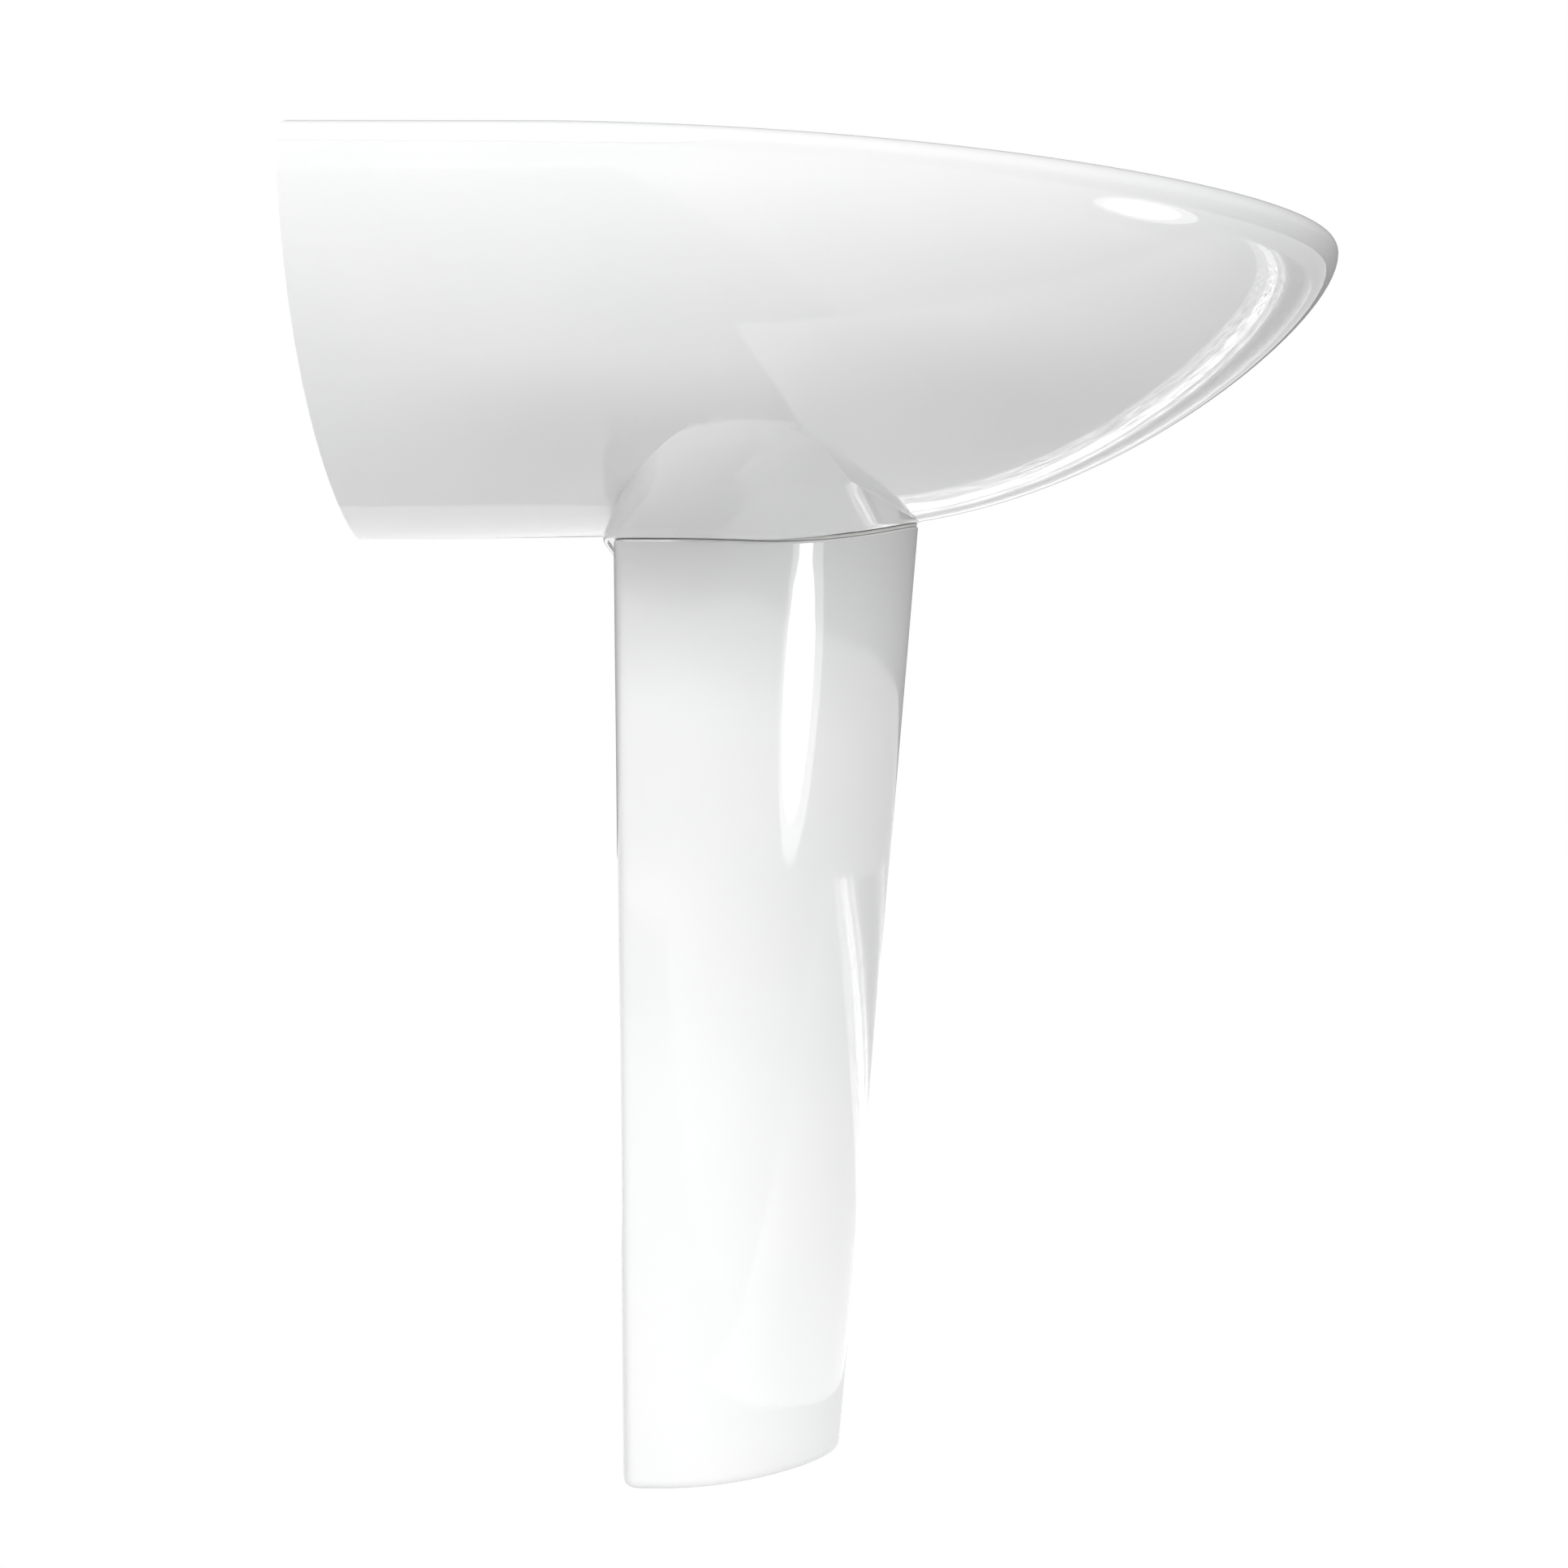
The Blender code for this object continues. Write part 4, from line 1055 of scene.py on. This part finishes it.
def make_trap():
    side = (0, DRAIN_Y, OUTLET_Z)
    pipe = [(0.0145, 0.402), (PIPE_RADIUS, 0.402), (PIPE_RADIUS, 0.5739)]
    pipe += [(0.0205, 0.5739), (0.0205, 0.5755), (0.0145, 0.5755)]
    dress(turned("tail_pipe", pipe, edge=0.0004), "inlet_pipe")
    washer("tail_washer", "inlet_washer", 0.0150, 0.0205, 0.5758, 0.5777, 0.0005)
    slip_nut("tail_nut", "inlet_nut", 0.0213, 0.0165, 0.5700, 0.5960, True)

    shoulder = [(TRAP_THREAD, 0.5118), (0.0262, 0.5100), (0.0310, 0.5070), (0.0310, 0.5010)]
    body = [(SLEEVE_BORE, 0.531)] + spaced(TRAP_THREAD, 0.531, 0.5135, THREAD_STEP)
    body += curve(shoulder, 12)
    body += [(0.0310, 0.4588), (0.0306, 0.458)] + spaced(0.0285, 0.458, 0.442, THREAD_STEP)
    body += [(0.0255, 0.442), (0.0255, 0.500), (0.0235, 0.5035), (SLEEVE_BORE, 0.506)]
    head = turned("trap_head", body, shape=threaded(TRAP_THREAD, 0.5140, 0.5308))
    outline = [(0, 0.0270)] + spaced(SPIGOT_THREAD, 0.0270, 0.0460, THREAD_STEP) + [(0, 0.0460)]
    shape = threaded(SPIGOT_THREAD, 0.0350, 0.0458)
    spigot = turned("trap_spigot", outline, side, ALONG_Y, shape=shape, phase=CUTTER_PHASE)
    outline = [(0, 0.0260), (0.0222, 0.0260), (0.0214, 0.0316), (0.0206, 0.0322), (0, 0.0322)]
    root = turned("trap_spigot_root", outline, side, ALONG_Y, phase=0.41)
    bore = cylinder("trap_spigot_bore", SLEEVE_BORE, 0.0200, 0.0500, side, ALONG_Y)
    cut(head, "UNION", root, spigot)
    cut(head, "DIFFERENCE", bore)
    smooth(head.data)
    dress(head, "trap_body")

    washer("trap_head_washer", "trap_top_washer", SLEEVE_BORE, 0.0213, 0.5313, 0.5350, 0.0008)
    slip_nut("trap_head_nut", "trap_top_nut", 0.0219, 0.0166, 0.5165, 0.5390, False)
    base = [(0.0245, 0.384), (0.0310, 0.384), (CUP_RADIUS, 0.3880), (CUP_RADIUS, 0.3950)]
    cup = [(0, 0.3846), (0.0150, 0.3846), (0.0180, 0.3840), (0.0245, 0.384)]
    cup += curve(base, 12, 1)
    cup += [(CUP_RADIUS, 0.4395)] + spaced(CUP_RADIUS, 0.4402, 0.4540, 0.0006)
    cup += [(CUP_RADIUS, 0.4549), (0.0329, 0.4555), (0.0289, 0.4555), (0.0289, 0.438)]
    cup += [(0.0262, 0.438), (0.0262, 0.394), (0.0250, 0.3905), (0.0220, 0.389), (0, 0.388)]
    shape = fluted(CUP_RADIUS, 72, 0.0005, 0.4405, 0.4535, 2)
    dress(turned("trap_bottle", cup, segments=432, shape=shape), "trap_cup")
    washer("trap_bottle_seal", "trap_cup_seal", 0.0264, 0.0285, 0.4383, 0.4417, 0.0008)
    bore, radius = SLEEVE_BORE, SPIGOT_THREAD
    washer("branch_washer", "outlet_washer", bore, radius, 0.0463, 0.0505, 0.0007, side, ALONG_Y)
    slip_nut("branch_nut", "outlet_nut", 0.0194, 0.0166, 0.0335, 0.0545, False, side, ALONG_Y)


def make_bend(steps=30, sides=ROUND):
    """The bend into the floor pipe's socket, with the mould's parting line down both sides."""
    edge = 0.0006
    stations = []
    for a in (0, 0.5, 1.0, math.pi / 2):
        y = 0.0745 + edge * (1 - math.cos(a))
        stations.append((y, OUTLET_Z, 0.0, PIPE_RADIUS - edge * (1 - math.sin(a))))
    for i in range(steps + 1):
        a = math.pi / 2 * i / steps
        y = BEND_START_Y + BEND_RADIUS * math.sin(a)
        z = OUTLET_Z - BEND_RADIUS * (1 - math.cos(a))
        stations.append((y, z, a, PIPE_RADIUS))
    down = math.pi / 2
    for k in range(9):
        swell = 0.5 - 0.5 * math.cos(math.pi * k / 8)
        stations.append((PIPE_Y, 0.4505 - 0.0045 * k / 8, down, PIPE_RADIUS + 0.0035 * swell))
    stations += [(PIPE_Y, z, down, SOCKET_RADIUS) for z in (0.440, 0.430, 0.4215, 0.4210)]
    for a in (1.57, 2.1, 2.6, 3.14):
        z = 0.4185 + 0.0005 * math.cos(a)
        stations.append((PIPE_Y, z, down, 0.0189 + edge * math.sin(a)))
    bores = [(y, z, lean, PIPE_BORE) for y, z, lean, _ in stations if z > 0.4475]
    bores += [(PIPE_Y, 0.4443, down, PIPE_BORE), (PIPE_Y, 0.4440, down, SLEEVE_BORE)]
    bores += [(PIPE_Y, 0.4190, down, SLEEVE_BORE), (PIPE_Y, 0.4180, down, 0.0170)]

    def hoop(y, z, lean, radius, seam=0.0):
        up = Vector((0, math.sin(lean), math.cos(lean)))
        points = []
        for k in range(sides):
            a = 2 * math.pi * k / sides
            r = radius - seam * (1 - abs(math.sin(a)) ** 600)
            points.append(Vector((r * math.sin(a), y, z)) + up * r * math.cos(a))
        return points

    outside = [hoop(*station, 0.00022) for station in stations]
    inside = [hoop(*station) for station in bores]
    bm = bmesh.new()
    loft(bm, outside + list(reversed(inside)) + [outside[0]])
    dress(finish("branch_bend", bm, 38), "outlet_bend")


def make_floor_pipe():
    at = (0, PIPE_Y, 0)
    pipe = turned("drain_pipe", ring_profile(PIPE_BORE, PIPE_RADIUS, 0.0, 0.4435), at, edge=0.0006)
    dress(pipe, "floor_pipe")
    face = [(0.0245, 0.0004), (0.0245, 0.0030), (0.0215, 0.0046), (0.0176, 0.0060)]
    outline = [(0.0165, 0.0), (0.0243, 0.0)] + curve(face, 12)
    outline += [(0.0169, 0.0060), (0.0165, 0.0056)]
    dress(turned("drain_rosette", outline, at), "floor_rosette")


# ---------------------------------------------------------------- stage


def stage_look(name, shade, glow=0.0):
    n = Nodes(name)
    tones = [(max(0.0, shade - 0.01),) * 3, (shade + 0.01,) * 3]
    tone = n.ramp(n.noise(0.8, 2.0), (0.3, tones[0]), (0.7, tones[1]))
    rough = n.span(n.noise(3.0, 2.0), 0.75, 0.85)
    return n.wear(tone, rough, Emission_Color=(1, 1, 1, 1), Emission_Strength=glow)


def stage_plane(name, low, high, z, look, hidden_from):
    bm = bmesh.new()
    bmesh.ops.create_grid(bm, x_segments=12, y_segments=12, size=1.0)
    for vert in bm.verts:
        for axis in (0, 1):
            vert.co[axis] = low[axis] + (high[axis] - low[axis]) * (vert.co[axis] + 1) / 2
    plane = finish(name, bm)
    plane.location.z = z
    plane.data.materials.append(look)
    for ray in hidden_from:
        setattr(plane, "visible_" + ray, False)
    return plane


def make_stage():
    """A white floor that runs into the white behind it, and helpers that the camera can't see.

    The pale board throws light back up; the dark strips shade the collar and the underside.
    """
    look = stage_look("studio_floor", FLOOR_SHADE, FLOOR_GLOW)
    stage_plane("studio_floor", *FLOOR, FLOOR_Z, look, ["diffuse"])
    look = stage_look("studio_board", BOARD_SHADE)
    stage_plane("studio_board", *BOARD, BOARD_Z, look, ["camera", "glossy"])
    for i, (low, high) in enumerate(FLAGS):
        name = f"studio_flag_{i}"
        corners = (low[2], low[1]), (high[2], high[1])
        look = stage_look(name, FLAG_SHADE)
        flag = stage_plane(name, *corners, 0.0, look, ["camera", "diffuse", "glossy"])
        flag.rotation_euler.y = -math.pi / 2
        flag.location = (low[0], 0, 0)
    stage_plane("studio_card", *CARD, CARD_Z, card_look(), ["camera", "diffuse", "shadow"])


def card_look():
    """What the glaze mirrors of the floor beyond the basin: a bright strip, with streaks."""
    far = CARD[1][0]
    n = Nodes("studio_card_light")
    parts = n.add("ShaderNodeSeparateXYZ")
    n.link(n.place, parts.inputs["Vector"])
    x, y = parts.outputs["X"], parts.outputs["Y"]
    reach = n.combine("MULTIPLY_ADD", n.combine("MULTIPLY", y, y), CARD_BEND, x)
    across = n.span(reach, 0.0, 1.0, 0.0, far)
    bands = n.ramp(across, *[(at / far, (v, v, v)) for at, v in CARD_BANDS])
    beyond = n.span(reach, 0.0, 1.0, *STREAKS_FROM)
    streaks = n.noise(1.0, 4.0, 0.65, STREAK_STRETCH, 0.6)
    streaks = n.span(streaks, -STREAK_DEPTH, STREAK_DEPTH, 0.34, 0.66)
    streaks = n.combine("MULTIPLY_ADD", streaks, beyond, 1.0)
    n.shader.inputs["Emission Color"].default_value = (1, 1, 1, 1)
    n.link(n.combine("MULTIPLY", bands, streaks), n.shader.inputs["Emission Strength"])
    return n.material


def area_light(name, at, target, size, power):
    data = bpy.data.lights.new(name, "AREA")
    data.shape = "ELLIPSE"
    data.size, data.size_y = size
    data.energy = power
    light = bpy.data.objects.new(name, data)
    light.location = at
    light.rotation_euler = (Vector(target) - Vector(at)).to_track_quat("-Z", "Y").to_euler()
    light.visible_camera = False
    light.visible_glossy = not name.endswith("_fill")
    bpy.context.scene.collection.objects.link(light)


def make_lights():
    """White to the camera; to the object a soft sky over a dark ground, and the softboxes."""
    world = bpy.data.worlds.new("white_studio")
    bpy.context.scene.world = world
    world.use_nodes = True
    tree = world.node_tree
    seen = tree.nodes["Background"]
    seen.inputs["Color"].default_value = (1, 1, 1, 1)
    lit = tree.nodes.new("ShaderNodeBackground")
    place = tree.nodes.new("ShaderNodeTexCoord")
    parts = tree.nodes.new("ShaderNodeSeparateXYZ")
    ramp = tree.nodes.new("ShaderNodeValToRGB")
    for element, at, colour in zip(ramp.color_ramp.elements, HORIZON, (GROUND, SKY)):
        element.position = at
        element.color = (*colour, 1)
    shift = tree.nodes.new("ShaderNodeMapRange")
    shift.inputs["From Min"].default_value = -1.0
    rays = tree.nodes.new("ShaderNodeLightPath")
    mix = tree.nodes.new("ShaderNodeMixShader")
    link = tree.links.new
    link(place.outputs["Generated"], parts.inputs["Vector"])
    link(parts.outputs["Z"], shift.inputs["Value"])
    link(shift.outputs["Result"], ramp.inputs["Fac"])
    link(ramp.outputs["Color"], lit.inputs["Color"])
    link(rays.outputs["Is Camera Ray"], mix.inputs["Fac"])
    link(lit.outputs["Background"], mix.inputs[1])
    link(seen.outputs["Background"], mix.inputs[2])
    link(mix.outputs["Shader"], tree.nodes["World Output"].inputs["Surface"])
    for name, (at, target, size, power) in SOFTBOXES.items():
        area_light(name, at, target, size, power)


def make_camera():
    data = bpy.data.cameras.new("side_view")
    data.sensor_width = 36.0
    data.lens = 64.3
    camera = bpy.data.objects.new("side_view", data)
    camera.location = (-1.832, 0.0415, 0.435)
    camera.rotation_euler = (math.pi / 2, 0, -math.pi / 2)
    bpy.context.scene.collection.objects.link(camera)
    bpy.context.scene.camera = camera


make_camera()
make_stage()
make_lights()
make_basin()
make_pedestal()
make_collar_seal()
make_overflow_trim()
make_waste()
make_plug()
make_plug_spring()
make_trap()
make_bend()
make_floor_pipe()

bpy.context.scene.view_settings.view_transform = "Standard"
bpy.context.view_layer.update()
